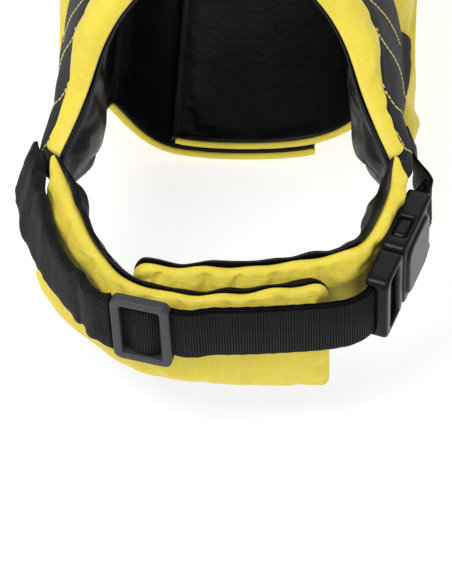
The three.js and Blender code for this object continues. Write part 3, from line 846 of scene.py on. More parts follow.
# The middle of the closed buckle, from the socket's end to the end of the prongs' half
BUCKLE_FROM = np.array([75.7, -149.5, -83])
BUCKLE_TO = np.array([58.6, -198.9, -83.5])
buckle_run = unit(BUCKLE_TO - BUCKLE_FROM)
buckle_out = unit(np.array([-buckle_run[1], buckle_run[0], 0]))
buckle_up = unit(np.cross(buckle_run, buckle_out))


def in_buckle(along, out):
    """A place in the buckle's own frame."""
    return BUCKLE_FROM + buckle_run * along + buckle_out * out


NECK_BELT = [
    (57.4, -190.1, -83.4), (54.8, -197.7, -83.5), (49.5, -202, -83.6), (42, -204.2, -83.6),
    (27, -206.2, -83.5), (5, -208, -83.3), (-17, -207.6, -83.3), (-30, -205.2, -83.3),
    (-43, -199.6, -83), (-54.5, -189.6, -81.5), (-64.9, -174.4, -78), (-71.2, -160, -74.5),
    (-74.8, -146, -71), (-76, -133, -67),
]
YOKE_STRAP = [(71.4, -117, -72), (73.2, -129, -77), in_buckle(-10, 0.15), in_buckle(-4, 0.9)]


class Path:
    """A smooth line through points, read by its length."""

    def __init__(self, points):
        p = np.array(points, float)
        p = np.concatenate([[2 * p[0] - p[1]], p, [2 * p[-1] - p[-2]]])
        t = np.linspace(0, 1, 120, endpoint=False)[:, None]
        parts = []
        for k in range(1, len(p) - 2):
            x0, x1, x2, x3 = p[k - 1 : k + 3]
            steps = (x1 - x0, x2 - x1, x3 - x2)
            d0, d1, d2 = (max(np.linalg.norm(step) ** 0.5, 1e-3) for step in steps)
            m1 = ((x1 - x0) / d0 - (x2 - x0) / (d0 + d1) + (x2 - x1) / d1) * d1
            m2 = ((x2 - x1) / d1 - (x3 - x1) / (d1 + d2) + (x3 - x2) / d2) * d1
            parts.append(x1 + m1 * t + (-3 * x1 + 3 * x2 - 2 * m1 - m2) * t**2
                         + (2 * x1 - 2 * x2 + m1 + m2) * t**3)
        self.points = np.concatenate(parts + [p[-2:-1]])
        walk = np.linalg.norm(np.diff(self.points, axis=0), axis=1)
        self.walk = np.concatenate([[0], np.cumsum(walk)])
        self.length = self.walk[-1]

    def __call__(self, d):
        d = np.clip(d, 0, self.length)
        return np.stack([np.interp(d, self.walk, self.points[:, k]) for k in range(3)], -1)


SLIDER_D = 93.0
belt_path = Path(NECK_BELT)
slider_place = belt_path(SLIDER_D)
slider_run = unit(belt_path(SLIDER_D + 6) - belt_path(SLIDER_D - 6))
BELT_END = belt_path.length - 18


def belt_line(d):
    """The belt's middle line, made straight where it runs through the slider."""
    d = np.asarray(d, float)
    straight = slider_place + slider_run * (d - SLIDER_D)[..., None]
    return lerp(belt_path(d), straight, (1 - smooth(np.abs(d - SLIDER_D), 14, 26))[..., None])


def belt_up(d):
    """Which way the belt's upper edge points at a length."""
    d = np.asarray(d, float)[..., None]
    up = lerp(buckle_up, np.array([0, 0, 1.0]), smooth(d, 8, 40))
    return lerp(up, np.array([0.27, 0.09, 0.96]), smooth(d, 125, 170))


def belt_place(d, out=0.0):
    """Place, run, across and outward directions of the neck belt at a length."""
    d = np.asarray(d, float)
    run = unit(belt_line(d + 0.5) - belt_line(d - 0.5))
    up = belt_up(d)
    across = unit(up - (up * run).sum(-1, keepdims=True) * run)
    normal = unit(np.cross(across, run))
    return belt_line(d) + normal * np.asarray(out, float)[..., None], run, across, normal


def over_bar(d):
    """How far the belt rises over the slider's bar."""
    return 2 * (1 - smooth(np.abs(d - SLIDER_D), 2.3, 6.6))


def arc(cx, cz, radius, start, end, count):
    """Points round a bar, for a strap that is folded over it."""
    a = np.radians(np.linspace(start, end, count))
    return np.stack([cx + radius * np.cos(a), cz + radius * np.sin(a)], -1).tolist()


def even(points, ups, step):
    """The same line with places every step."""
    points, ups = np.array(points, float), np.array(ups, float)
    walk = np.concatenate([[0], np.cumsum(np.linalg.norm(np.diff(points, axis=0), axis=1))])
    at = np.linspace(0, walk[-1], max(4, int(walk[-1] / step)))
    soft, turned = (
        np.stack([np.interp(at, walk, rows[:, k]) for k in range(3)], -1) for rows in (points, ups)
    )
    for _ in range(2):
        soft[1:-1] = (soft[:-2] + 2 * soft[1:-1] + soft[2:]) / 4
    return soft, unit(turned), at


def neck_belt_line():
    """From the slider's bar to the buckle under the outer layer, round the buckle's bar and back."""
    under = np.linspace(SLIDER_D + 2, 6, 60)
    over = np.linspace(6, BELT_END, 190)
    fold = [
        [48.5, -1.9], [46.5, -1.75], [44.6, -1.4], [43.2, -1.3],
        *arc(42.2, 0.2, 1.5, -90, -270, 14), *arc(42.8, 0.2, 1.5, 90, 25, 6),
        [45, -0.2], [46.1, -1.2], [47.2, -1.6], [48.5, -1.6],
    ]
    first, _, first_up, _ = belt_place(under, 1.8)
    last, _, last_up, _ = belt_place(over, 2.1 + over_bar(over))
    middle = np.array([in_buckle(a, o) for a, o in fold])
    points = np.concatenate([first, middle, last])
    ups = np.concatenate([first_up, np.repeat(buckle_up[None], len(fold), 0), last_up])
    return even(points, ups, 0.9)


def buckle_strap_line():
    """From the yoke's right tip to the socket, and round its bar."""
    path = Path(YOKE_STRAP)
    share = np.linspace(0, 1, 40)
    sewn = path(share * path.length)
    ups = lerp(np.array([-0.2, -0.1, 0.97]), buckle_up, share[:, None])
    fold = [[-1.5, 1.5], [0.4, 1.7], *arc(1.9, 0, 1.7, 90, -90, 16),
            [0.4, -1.7], [-1.5, -1.5], [-4, -0.9], [-6.5, -0.35], [-9, -0.2]]
    points = np.concatenate([sewn, [in_buckle(a, o) for a, o in fold]])
    ups = np.concatenate([ups, np.repeat(buckle_up[None], len(fold), 0)])
    return even(points, ups, 0.7)


def webbing_frame(points, ups):
    """The directions across a strap and out of it."""
    run = unit(np.gradient(points, axis=0))
    across = unit(ups - (ups * run).sum(-1, keepdims=True) * run)
    return across, unit(np.cross(across, run))


def make_webbing(name, line):
    """A woven strap along a line, with flat faces and rounded selvedges."""
    points, ups, at = line
    across, normal = webbing_frame(points, ups)
    share = crowded(14, 0.7) * 2 - 1
    edge = np.sqrt(np.clip(1 - ((np.abs(share) - 0.9) / 0.1).clip(0, 1) ** 2, 0.05, 1))
    half = WEB_WIDTH / 2 + EDGE_SWAY * np.sin(at * 1.1)[:, None]
    place = points[:, None] + across[:, None] * (share[None] * half)[..., None]
    middle = WEB_THICK / 2
    rise = (middle - RIB_PROUD) * edge
    outer = place + normal[:, None] * (middle + rise)[None, :, None]
    inner = place + normal[:, None] * (middle - rise)[None, :, None]
    uv = np.stack(np.broadcast_arrays(at[:, None], share[None] * WEB_WIDTH / 2), -1)
    return shade(slab_object(name, outer, inner, uv))


# Threads and ribs, from Geometry Nodes

class Weaver:
    """A Geometry Nodes tree with named inputs."""

    def __init__(self, name, inputs):
        self.tree = bpy.data.node_groups.new(name, "GeometryNodeTree")
        faces = self.tree.interface
        faces.new_socket("Geometry", in_out="INPUT", socket_type="NodeSocketGeometry")
        faces.new_socket("Geometry", in_out="OUTPUT", socket_type="NodeSocketGeometry")
        for label, kind, value in inputs:
            item = faces.new_socket(label, in_out="INPUT", socket_type="NodeSocket" + kind)
            if value is not None:
                item.default_value = value
        self.start = self.tree.nodes.new("NodeGroupInput")
        self.end = self.tree.nodes.new("NodeGroupOutput")

    def node(self, kind, settings=None, links=None):
        made = self.tree.nodes.new(kind)
        for key, value in (settings or {}).items():
            setattr(made, key, value)
        for key, value in (links or {}).items():
            if isinstance(value, bpy.types.NodeSocket):
                self.tree.links.new(value, made.inputs[key])
            else:
                made.inputs[key].default_value = value
        return made

    def given(self, label):
        return self.start.outputs[label]

    def spaced(self):
        """Places at each pitch of the piece's lines."""
        line = self.node("GeometryNodeMeshToCurve", links={"Mesh": self.given("Geometry")})
        spaced = self.node("GeometryNodeResampleCurve", links={"Curve": line.outputs[0]})
        spaced.mode = "LENGTH"
        self.tree.links.new(self.given("Pitch"), spaced.inputs["Length"])
        return spaced.outputs[0]

    def uneven(self, low):
        """A random number from low to 1 for each place."""
        return self.node("FunctionNodeRandomValue", {"data_type": "FLOAT"}, {
            "Min": low, "Max": 1.0, "Seed": self.given("Seed"),
        }).outputs["Value"]

    def times(self, a, b):
        return self.node("ShaderNodeMath", {"operation": "MULTIPLY"}, {0: a, 1: b}).outputs[0]

    def lay(self, places, shape, rotation, x, y, z):
        """Lays a shape of unit size at every place, turned and scaled."""
        size = self.node("ShaderNodeCombineXYZ", links={"X": x, "Y": y, "Z": z})
        laid = self.node("GeometryNodeInstanceOnPoints", links={
            "Points": places, "Instance": shape.outputs["Mesh"],
            "Rotation": rotation.outputs[0], "Scale": size.outputs[0],
        })
        return self.finish(laid.outputs[0])

    def finish(self, geometry):
        real = self.node("GeometryNodeRealizeInstances", links={"Geometry": geometry})
        dressed = self.node("GeometryNodeSetMaterial", links={
            "Geometry": real.outputs[0], "Material": self.given("Material"),
        })
        self.tree.links.new(dressed.outputs[0], self.end.inputs[0])
        return self.tree


def stitch_tree():
    """Stitches laid end to end along every line of a piece."""
    w = Weaver("Sewn line", [
        ("Pitch", "Float", 0.003), ("Stitch", "Float", 0.0026), ("Thread", "Float", 0.0006),
        ("Unevenness", "Float", 0.12), ("Seed", "Int", 5), ("Material", "Material", None),
    ])
    places = w.spaced()
    run = w.node("GeometryNodeInputTangent").outputs[0]
    turned = w.node("FunctionNodeAlignRotationToVector", {"axis": "X"}, {"Vector": run})
    less = w.node("ShaderNodeMath", {"operation": "SUBTRACT"}, {0: 1.0, 1: w.given("Unevenness")})
    long = w.times(w.given("Stitch"), w.uneven(less.outputs[0]))
    bead = w.node("GeometryNodeMeshUVSphere", links={"Segments": 8, "Rings": 6, "Radius": 0.5})
    return w.lay(places, bead, turned, long, w.given("Thread"), w.given("Thread"))


def rib_tree():
    """Ribs lying across a strap, one at each pitch of its middle line."""
    w = Weaver("Webbing ribs", [
        ("Pitch", "Float", 0.001), ("Rib width", "Float", 0.00055), ("Rib height", "Float", 0.0004),
        ("Strap width", "Float", 0.024), ("Seed", "Int", 3), ("Material", "Material", None),
    ])
    places = w.spaced()
    run = w.node("GeometryNodeInputTangent").outputs[0]
    across = w.node("GeometryNodeInputNamedAttribute", {"data_type": "FLOAT_VECTOR"}, {"Name": "across"})
    turned = w.node("FunctionNodeAxesToRotation", {"primary_axis": "X", "secondary_axis": "Z"}, {
        "Primary Axis": run, "Secondary Axis": across.outputs["Attribute"],
    })
    long = w.times(w.given("Strap width"), w.uneven(0.985))
    rod = w.node("GeometryNodeMeshCylinder", links={
        "Vertices": 8, "Side Segments": 1, "Radius": 0.5, "Depth": 1.0,
    })
    return w.lay(places, rod, turned, w.given("Rib width"), w.given("Rib height"), long)


def tree_named(name, build):
    return bpy.data.node_groups.get(name) or build()


def run_tree(obj, tree, values):
    """Runs a tree on a piece and keeps the result as its plain mesh."""
    mod = obj.modifiers.new(tree.name, "NODES")
    mod.node_group = tree
    for item in tree.interface.items_tree:
        if item.item_type == "SOCKET" and item.in_out == "INPUT" and item.name in values:
            mod[item.identifier] = values[item.name]
    obj.update_tag()
    return bake_modifiers(obj)


def lines_object(name, lines, across=None):
    """A piece of loose lines, each a row of points in millimetres."""
    verts = np.concatenate(lines)
    edges, start = [], 0
    for line in lines:
        edges += [(start + k, start + k + 1) for k in range(len(line) - 1)]
        start += len(line)
    mesh = bpy.data.meshes.new(name)
    mesh.from_pydata((verts * MM).tolist(), edges, [])
    if across is not None:
        layer = mesh.attributes.new("across", "FLOAT_VECTOR", "POINT")
        layer.data.foreach_set("vector", np.concatenate(across).ravel())
    return link_object(name, mesh)


# A stitch's distance, length and thickness
STITCH_PITCH, STITCH_LONG, THREAD = 2.4, 2.6, 0.62

# A rib's share of its pitch, its height, how deep it sits in its strap, and how much
# shorter than the strap's width it is
RIB_SHARE = 0.74
RIB_TALL = 0.36
RIB_SUNK = 0.16
RIB_SHORT = 1.3


def make_stitches(name, lines, finish, seed):
    obj = lines_object(name, lines)
    values = {"Pitch": STITCH_PITCH * MM, "Stitch": STITCH_LONG * MM, "Thread": THREAD * MM,
              "Seed": seed, "Material": finish}
    return shade(run_tree(obj, tree_named("Sewn line", stitch_tree), values))


def make_ribs(name, line, finish, pitch):
    """Ribs on both faces of a strap."""
    points, ups, _ = line
    across, normal = webbing_frame(points, ups)
    faces = [points + normal * (WEB_THICK - RIB_SUNK), points + normal * RIB_SUNK]
    obj = lines_object(name, faces, [across, across])
    values = {"Pitch": pitch * MM, "Rib width": RIB_SHARE * pitch * MM, "Rib height": RIB_TALL * MM,
              "Strap width": (WEB_WIDTH - RIB_SHORT) * MM, "Material": finish}
    return shade(run_tree(obj, tree_named("Webbing ribs", rib_tree), values))


# Sleeve of the belt's end

SLEEVE_FROM = SLIDER_D + 12.4
SLEEVE_END = belt_path.length
SLEEVE_LAST = SLEEVE_END - 0.5

# Its wall, its half width, the heights of its inner and outer face over the belt's line, and the length of
# its closed end
SLEEVE_WALL = 1.2
SLEEVE_HALF = 14.7
SLEEVE_LOW, SLEEVE_HIGH = 0.35, 5.4
SLEEVE_CLOSED = 11
SLEEVE_SIDES = 56


def sleeve_rings(d, wall):
    """Rings of the sleeve at lengths d, moved in by the wall, and the places across it."""
    p, _, across, normal = belt_place(d)
    turn = np.linspace(0, 2 * np.pi, SLEEVE_SIDES, endpoint=False)
    c, s = np.cos(turn), np.sin(turn)
    wide = np.sign(c) * np.abs(c) ** 0.35
    tall = np.sign(s) * np.abs(s) ** 0.8
    close = smooth(d, SLEEVE_END - 10, SLEEVE_END)
    sunk = smooth(d, SLEEVE_END - 26, SLEEVE_END - 16) * (1 - close)
    half = SLEEVE_HALF - 5 * close - wall
    low, high = SLEEVE_LOW + wall - 1.8 * sunk, lerp(SLEEVE_HIGH, 3, close) - wall
    a = wide[None] * half[:, None]
    b = lerp(low, high, 0.5)[:, None] + tall[None] * ((high - low) / 2)[:, None]
    if not wall:
        wave, other = wander(131), wander(137)
        crush = 1 - 0.7 * smooth(d, SLEEVE_FROM + 14, SLEEVE_FROM + 34)
        top = (tall > 0.2)[None] * 1.0
        crease = wave(d[:, None] + 0.55 * a, 9) * 0.34 * crush[:, None]
        crease = crease + other(d[:, None] - 0.3 * a, 23) * 0.3
        b = b + top * np.clip(crease, -0.8, 0.5)
        frill = 0.13 * np.sin(d * 3.9)[:, None] * (np.abs(wide) > 0.93)[None]
        a = a + np.sign(a) * (frill + 0.5 * wave(d, 15)[:, None] * (np.abs(wide) > 0.9)[None])
        wider = smooth(d, SLEEVE_END - 48, SLEEVE_END - 8)[:, None] * smooth(a, 2, 10)
        a = a + 1.8 * wider
        mouth = 1 - smooth(d, SLEEVE_FROM + 1.2, SLEEVE_FROM + 2.6)
        b = b + 0.5 * top * mouth[:, None]
    return p[:, None] + across[:, None] * a[..., None] + normal[:, None] * b[..., None], a


def make_sleeve():
    """A flat tube of soft cloth round the belt's end, creased and turned in at its mouth."""
    d = np.linspace(SLEEVE_FROM, SLEEVE_LAST, 150)
    count = SLEEVE_SIDES
    outer, a = sleeve_rings(d, 0.0)
    inner, _ = sleeve_rings(d, SLEEVE_WALL)
    inner = inner[d < SLEEVE_END - SLEEVE_CLOSED]
    rows, rows_in = len(outer), len(inner)
    start = rows * count
    faces = grid_faces(rows, count, loop=True)
    faces += grid_faces(rows_in, count, start, flip=True, loop=True)
    for j in range(count):
        k = (j + 1) % count
        faces.append([j, k, start + k, start + j])
    faces.append([(rows - 1) * count + j for j in range(count)])
    faces.append([start + (rows_in - 1) * count + j for j in range(count)][::-1])
    verts = np.concatenate([outer.reshape(-1, 3), inner.reshape(-1, 3)])
    uv = np.stack(np.broadcast_arrays(d[:, None], a), -1).reshape(-1, 2)
    obj = new_object("belt_sleeve_cloth", verts, faces, np.concatenate([uv, uv[: rows_in * count]]))
    with editing(obj.data) as work:
        bmesh.ops.recalc_face_normals(work, faces=work.faces[:])
    return shade(turn_out(obj))


# Moulded parts

# Share of faces that a moulded part keeps, and its growth for each step of smoothing
MOULD_KEEP = 0.55
MOULD_GROW = 0.012


def matrix_of(axes, origin):
    """The matrix whose columns are three axes and a place."""
    rows = np.stack(axes, 1)
    return Matrix([[*rows[k].tolist(), origin[k]] for k in range(3)] + [[0, 0, 0, 1]])


def make_moulded(name, node, origin, x_axis, z_axis, voxel, soften):
    """The solid's own shape with its edges rounded, worked in its own frame."""
    place = matrix_of([x_axis, np.cross(z_axis, x_axis), z_axis], origin)
    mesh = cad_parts[node].data.copy()
    with editing(mesh) as work:
        bmesh.ops.remove_doubles(work, verts=work.verts[:], dist=2e-6)
        bmesh.ops.scale(work, vec=(1 / MM,) * 3, verts=work.verts[:])
        bmesh.ops.transform(work, matrix=place.inverted(), verts=work.verts[:])
    mesh.materials.clear()
    obj = link_object(name, mesh)
    rebuilt = obj.modifiers.new("Voxels", "REMESH")
    rebuilt.mode, rebuilt.voxel_size = "VOXEL", voxel
    soft = obj.modifiers.new("Soften", "SMOOTH")
    soft.factor, soft.iterations = 0.5, soften
    # smoothing draws the shape in, and this gives it back
    full = obj.modifiers.new("Full", "DISPLACE")
    full.mid_level, full.strength = 0.0, MOULD_GROW * soften
    fewer = obj.modifiers.new("Fewer", "DECIMATE")
    fewer.ratio = MOULD_KEEP
    bake_modifiers(obj)
    obj.data.transform(Matrix.Scale(MM, 4) @ place)
    obj.data.name = name
    return shade(obj)


# Finishes

class Wire:
    """A shader value that takes part in sums."""

    def __init__(self, finish, socket):
        self.finish, self.socket = finish, socket

    def __add__(self, other):
        return self.finish.math("ADD", self, other)

    def __sub__(self, other):
        return self.finish.math("SUBTRACT", self, other)

    def __mul__(self, other):
        return self.finish.math("MULTIPLY", self, other)

    def __rsub__(self, other):
        return self.finish.math("SUBTRACT", other, self)

    __radd__, __rmul__ = __add__, __mul__


class Finish:
    """One material and its nodes."""

    def __init__(self, name):
        self.material = bpy.data.materials.new(name)
        self.material.use_nodes = True
        self.tree = self.material.node_tree
        self.tree.nodes.clear()

    def node(self, kind, settings=None, links=None, out=0):
        made = self.tree.nodes.new(kind)
        for key, value in (settings or {}).items():
            setattr(made, key, value)
        for key, value in (links or {}).items():
            if isinstance(value, Wire):
                self.tree.links.new(value.socket, made.inputs[key])
            else:
                made.inputs[key].default_value = value
        return Wire(self, made.outputs[out]) if len(made.outputs) else None

    def math(self, operation, *values):
        return self.node("ShaderNodeMath", {"operation": operation}, dict(enumerate(values)))

    def step(self, value, low, high, start=0.0, end=1.0):
        """A smooth step of a value, from start at low to end at high."""
        return self.node("ShaderNodeMapRange", {"interpolation_type": "SMOOTHSTEP"}, {
            "Value": value, "From Min": low, "From Max": high, "To Min": start, "To Max": end,
        })

    def colour(self, factor, a, b):
        return self.node("ShaderNodeMix", {"data_type": "RGBA"}, {0: factor, 6: a, 7: b}, out=2)

    def cut(self):
        """The flat cut of the cloth: along and across, in millimetres."""
        uv = self.node("ShaderNodeUVMap", {"uv_map": "cut"})
        parts = self.node("ShaderNodeSeparateXYZ", None, {0: uv})
        across = Wire(self, parts.socket.node.outputs[1])
        return parts * 1000.0, across * 1000.0

    def place(self):
        """The place on the object, in millimetres."""
        where = self.node("ShaderNodeTexCoord", out="Object")
        return self.node("ShaderNodeVectorMath", {"operation": "SCALE"}, {0: where, "Scale": 1000.0})

    def noise(self, where, size, detail, rough=0.5):
        """Noise with grains of a size in millimetres."""
        return self.node("ShaderNodeTexNoise", {"noise_dimensions": "3D"}, {
            "Vector": where, "Scale": 1.0 / size, "Detail": detail, "Roughness": rough,
        })

    def relief(self, height, depth, over=None):
        """Bump of that depth in millimetres, over another one if there is one."""
        links = {"Height": height, "Strength": 1.0, "Distance": depth * MM}
        if over is not None:
            links["Normal"] = over
        return self.node("ShaderNodeBump", None, links)

    def cloudy(self, where, size, detail, low, high):
        """Soft patches, 0 to 1, for a colour that isn't quite even."""
        return self.step(self.noise(where, size, detail), low, high)

    def close(self, **sockets):
        """Ends the material in a Principled shader with these sockets set."""
        shader = self.node("ShaderNodeBsdfPrincipled", None, {
            key.replace("_", " "): value for key, value in sockets.items()
        })
        self.node("ShaderNodeOutputMaterial", None, {0: shader})
        return self.material


def scaled(colour, by=1.0):
    """A colour made darker or lighter, with its alpha."""
    return (*(min(1.0, c * by) for c in tuple(colour)[:3]), 1.0)


def woven(f, along, across, pitch):
    """A plain weave: threads over and under each other, 0 to 1."""
    a = f.math("SINE", along * (math.pi / pitch))
    b = f.math("SINE", across * (math.pi / pitch))
    return f.math("ABSOLUTE", a) * 0.5 + f.math("ABSOLUTE", b) * 0.5


def shell_finish(settings):
    """Ripstop nylon: a fine weave with a grid of thicker threads."""
    f = Finish("ripstop_shell")
    along, across = f.cut()
    place = f.place()
    pitch = settings.grid * 1000
    lines = []
    for value in (along, across):
        away = f.math("PINGPONG", value, pitch / 2)
        lines.append(f.step(away, 0.06, 0.30, 1.0, 0.0))
    grid = f.math("MAXIMUM", *lines)
    weave = woven(f, along, across, 0.42)
    fine = f.noise(place, 0.9, 3, 0.6)
    crinkle = f.noise(place, 5.5, 4, 0.55)
    cloudy = f.cloudy(place, 21, 2, 0.35, 0.65)
    base = f.colour(cloudy, scaled(settings.colour, 0.93), scaled(settings.colour))
    base = f.colour(f.step(fine, 0.3, 0.75) * 0.16, base, scaled(settings.colour, 0.78))
    base = f.colour(grid * 0.2, base, scaled(settings.thread_colour))
    bump = f.relief(crinkle, 0.55)
    bump = f.relief(weave * (1 - grid), 0.035, bump)
    bump = f.relief(grid, 0.07, bump)
    rough = 0.56 - grid * 0.08 + fine * 0.12
    return f.close(Base_Color=base, Roughness=rough, Normal=bump,
                   Sheen_Weight=0.1, Sheen_Roughness=0.5, Specular_IOR_Level=0.3)


def lining_finish(settings):
    """Black coated nylon: close weave, a soft shine on its folds."""
    f = Finish("lining_nylon")
    along, across = f.cut()
    place = f.place()
    weave = woven(f, along, across, 0.35)
    cloudy = f.cloudy(place, 17, 2, 0.3, 0.7)
    base = f.colour(cloudy, scaled(settings.colour, 0.8), scaled(settings.colour, 1.2))
    bump = f.relief(f.noise(place, 4.2, 5, 0.6), 0.22)
    bump = f.relief(weave, 0.03, bump)
    return f.close(Base_Color=base, Roughness=0.34 + cloudy * 0.14, Normal=bump,
                   Specular_IOR_Level=0.26)


def yoke_finish(settings):
    """Charcoal knitted mesh with small open cells."""
    f = Finish("yoke_mesh")
    along, across = f.cut()
    place = f.place()
    pitch = 1.15
    a = f.math("SINE", along * (2 * math.pi / pitch))
    b = f.math("SINE", across * (2 * math.pi / (pitch * 1.25)) + along * (math.pi / pitch))
    cells = f.step(a * b, -0.2, 0.75)
    fine = f.noise(place, 0.7, 3, 0.6)
    base = f.colour(cells, scaled(settings.colour), scaled(settings.colour, 0.42))
    base = f.colour(f.step(fine, 0.45, 0.8) * 0.35, base, scaled(settings.colour, 1.7))
    bump = f.relief(f.noise(place, 7, 3), 0.5)
    bump = f.relief(1 - cells, 0.16, bump)
    return f.close(Base_Color=base, Roughness=0.78 + f.noise(place, 15, 2) * 0.14, Normal=bump,
                   Sheen_Weight=0.08, Sheen_Roughness=0.6, Specular_IOR_Level=0.18)


def webbing_finish(settings, name="woven_webbing", painted_rib_highlight=False):
    """Black polypropylene webbing: picks across the strap, ends along it."""
    f = Finish(name)
    place = f.place()
    fine = f.noise(place, 0.45, 3, 0.65)
    cloudy = f.cloudy(place, 12, 2, 0.35, 0.7)
    if painted_rib_highlight:
        # painted highlight: the ribs are painted up to three times lighter than the webbing's colour, while
        # the strap between them stays dark
        low, high, gloss = 0.9, 2.4, 0.2
        shape = f.step(fine, 0.0, 0.6)
    else:
        low, high, gloss = 0.15, 0.7, 0.06
        pitch = settings.pitch * 1000
        along, across = f.cut()
        pick = f.math("PINGPONG", along, pitch * 0.5)
        sway = f.math("SINE", along * (math.pi / pitch)) * 0.2
        end = f.math("PINGPONG", across + sway, 0.62)
        shape = f.step(pick, 0.05, pitch * 0.42) * 0.6 + f.step(end, 0.08, 0.5) * 0.4
    base = f.colour(shape, scaled(settings.colour, low), scaled(settings.colour, high))
    base = f.colour(cloudy * 0.25, base, scaled(settings.colour, high * 1.3))
    bump = f.relief(shape, 0.16)
    bump = f.relief(fine, 0.05, bump)
    return f.close(Base_Color=base, Roughness=0.55 + fine * 0.22, Normal=bump, Specular_IOR_Level=gloss)


def sleeve_finish(settings):
    """Soft black cloth with a close rib."""
    f = Finish("sleeve_cloth")
    along, across = f.cut()
    place = f.place()
    rib = f.math("PINGPONG", along * 0.8 + across * 0.6, 0.55)
    fuzz = f.noise(place, 0.8, 4, 0.7)
    shape = f.step(rib, 0.08, 0.5)
    base = f.colour(shape, scaled(settings.sleeve_colour, 0.6), scaled(settings.sleeve_colour, 1.25))
    base = f.colour(f.step(fuzz, 0.5, 0.8) * 0.4, base, scaled(settings.sleeve_colour, 2.0))
    bump = f.relief(f.noise(place, 10, 3), 0.9)
    bump = f.relief(shape, 0.08, bump)
    bump = f.relief(fuzz, 0.12, bump)
    return f.close(Base_Color=base, Roughness=0.82 + fuzz * 0.12, Normal=bump,
                   Sheen_Weight=0.05, Sheen_Roughness=0.6, Specular_IOR_Level=0.12)


def plastic_finish(settings):
    """Moulded black plastic: a fine grain and a few light scuffs."""
    f = Finish("moulded_plastic")
    place = f.place()
    grain = f.noise(place, 0.5, 4, 0.6)
    flow = f.noise(place, 9, 3)
    scuff = f.step(f.noise(place, 1.6, 6, 0.75), 0.60, 0.72)
    base = f.colour(f.step(flow, 0.35, 0.7), scaled(settings.colour, 0.9), scaled(settings.colour, 1.15))
    base = f.colour(scuff * 0.18, base, scaled(settings.colour, 2.4))
    rough = 0.24 + flow * 0.08 + scuff * 0.12
    return f.close(Base_Color=base, Roughness=rough, Normal=f.relief(grain, 0.03),
                   Specular_IOR_Level=0.15)


def slider_finish(settings):
    """The same moulding in a lighter grey, a little matt."""
    f = Finish("slider_plastic")
    place = f.place()
    grain = f.noise(place, 0.5, 4, 0.6)
    flow = f.noise(place, 8, 3)
    base = f.colour(f.step(flow, 0.35, 0.7), scaled(settings.slider_colour, 0.88),
                    scaled(settings.slider_colour, 1.12))
    return f.close(Base_Color=base, Roughness=0.42 + flow * 0.14, Normal=f.relief(grain, 0.03),
                   Specular_IOR_Level=0.5)


def thread_finish(name, colour):
    """Twisted sewing thread."""
    f = Finish(name)
    place = f.place()
    twist = f.noise(place, 0.3, 2, 0.7)
    base = f.colour(f.step(twist, 0.3, 0.7), scaled(colour, 0.7), scaled(colour))
    return f.close(Base_Color=base, Roughness=0.5 + twist * 0.2, Normal=f.relief(twist, 0.05),
                   Sheen_Weight=0.2)


def floor_finish(settings):
    """A pale studio floor, lit a little from within so that it stays white."""
    f = Finish("pale_floor")
    place = f.place()
    tone = f.noise(place, 300, 2)
    base = f.colour(tone, scaled(settings.floor_colour, 0.985), scaled(settings.floor_colour))
    return f.close(Base_Color=base, Roughness=0.85 + tone * 0.1,
                   Emission_Color=(1.0, 1.0, 1.0, 1.0), Emission_Strength=0.8)


# Settings that a user would change

def colour_setting(name, what, *value):
    return FloatVectorProperty(name=name, description=what, subtype="COLOR", size=3,
                               min=0.0, max=1.0, default=value)


def length_setting(name, what, value, low, high):
    return FloatProperty(name=name, description=what, unit="LENGTH", subtype="DISTANCE",
                         precision=5, default=value, min=low, max=high)


class JacketShell(bpy.types.PropertyGroup):
    colour: colour_setting("Shell colour", "Colour of the ripstop shell", 0.90, 0.725, 0.068)
    thread_colour: colour_setting("Grid thread", "Colour of the ripstop's thicker threads", 1.0, 0.90, 0.30)
    line_colour: colour_setting("Topstitch", "Colour of the lines sewn on the yoke", 0.93, 0.80, 0.22)
    grid: length_setting("Ripstop grid", "Distance between the thicker threads", 0.0053, 0.002, 0.02)


class JacketLining(bpy.types.PropertyGroup):
    colour: colour_setting("Lining colour", "Colour of the nylon lining", 0.0085, 0.0085, 0.0095)


class JacketYoke(bpy.types.PropertyGroup):
    colour: colour_setting("Yoke colour", "Colour of the knitted yoke", 0.030, 0.030, 0.033)
    seed: IntProperty(name="Stitch seed", description="Seed of the stitches' uneven lengths",
                      default=5, min=0)


class JacketWebbing(bpy.types.PropertyGroup):
    colour: colour_setting("Webbing colour", "Colour of the belt webbing", 0.0052, 0.0052, 0.0056)
    sleeve_colour: colour_setting("Sleeve colour", "Colour of the belt's sleeve", 0.0085, 0.0085, 0.0095)
    pitch: length_setting("Rib pitch", "Distance between the ribs", 0.00105, 0.0005, 0.004)


class JacketPlastic(bpy.types.PropertyGroup):
    colour: colour_setting("Plastic colour", "Colour of the buckle", 0.0062, 0.0062, 0.0068)
    slider_colour: colour_setting("Slider colour", "Colour of the slider", 0.036, 0.038, 0.042)


class JacketStage(bpy.types.PropertyGroup):
    floor_colour: colour_setting("Floor colour", "Colour of the pale floor", 0.3, 0.3, 0.3)
    light: FloatProperty(name="Room light", description="Strength of the even light",
                         default=1.0, min=0.0, max=5.0)


SETTINGS = {
    "jacket_shell": JacketShell, "jacket_lining": JacketLining, "jacket_yoke": JacketYoke,
    "jacket_webbing": JacketWebbing, "jacket_plastic": JacketPlastic, "jacket_stage": JacketStage,
}


def dressed(obj, finish, node, slot):
    """Gives a piece its finish and its body, and hides the solid of the node that it stands for; slot is
    not used.
    """
    obj.data.materials.clear()
    obj.data.materials.append(finish)
    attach(obj, "root")
    if node:
        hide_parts(node)
    return obj


def finish_named(name, build, *given):
    return bpy.data.materials.get(name) or build(*given)


def surface_of(*names):
    """A search tree over finished pieces, in metres."""
    verts, faces, start = [], [], 0
    for name in names:
        mesh = bpy.data.objects[name].data
        co = np.zeros(len(mesh.vertices) * 3)
        mesh.vertices.foreach_get("co", co)
        verts += co.reshape(-1, 3).tolist()
        faces += [[start + k for k in p.vertices] for p in mesh.polygons]
        start = len(verts)
    return BVHTree.FromPolygons(verts, faces)


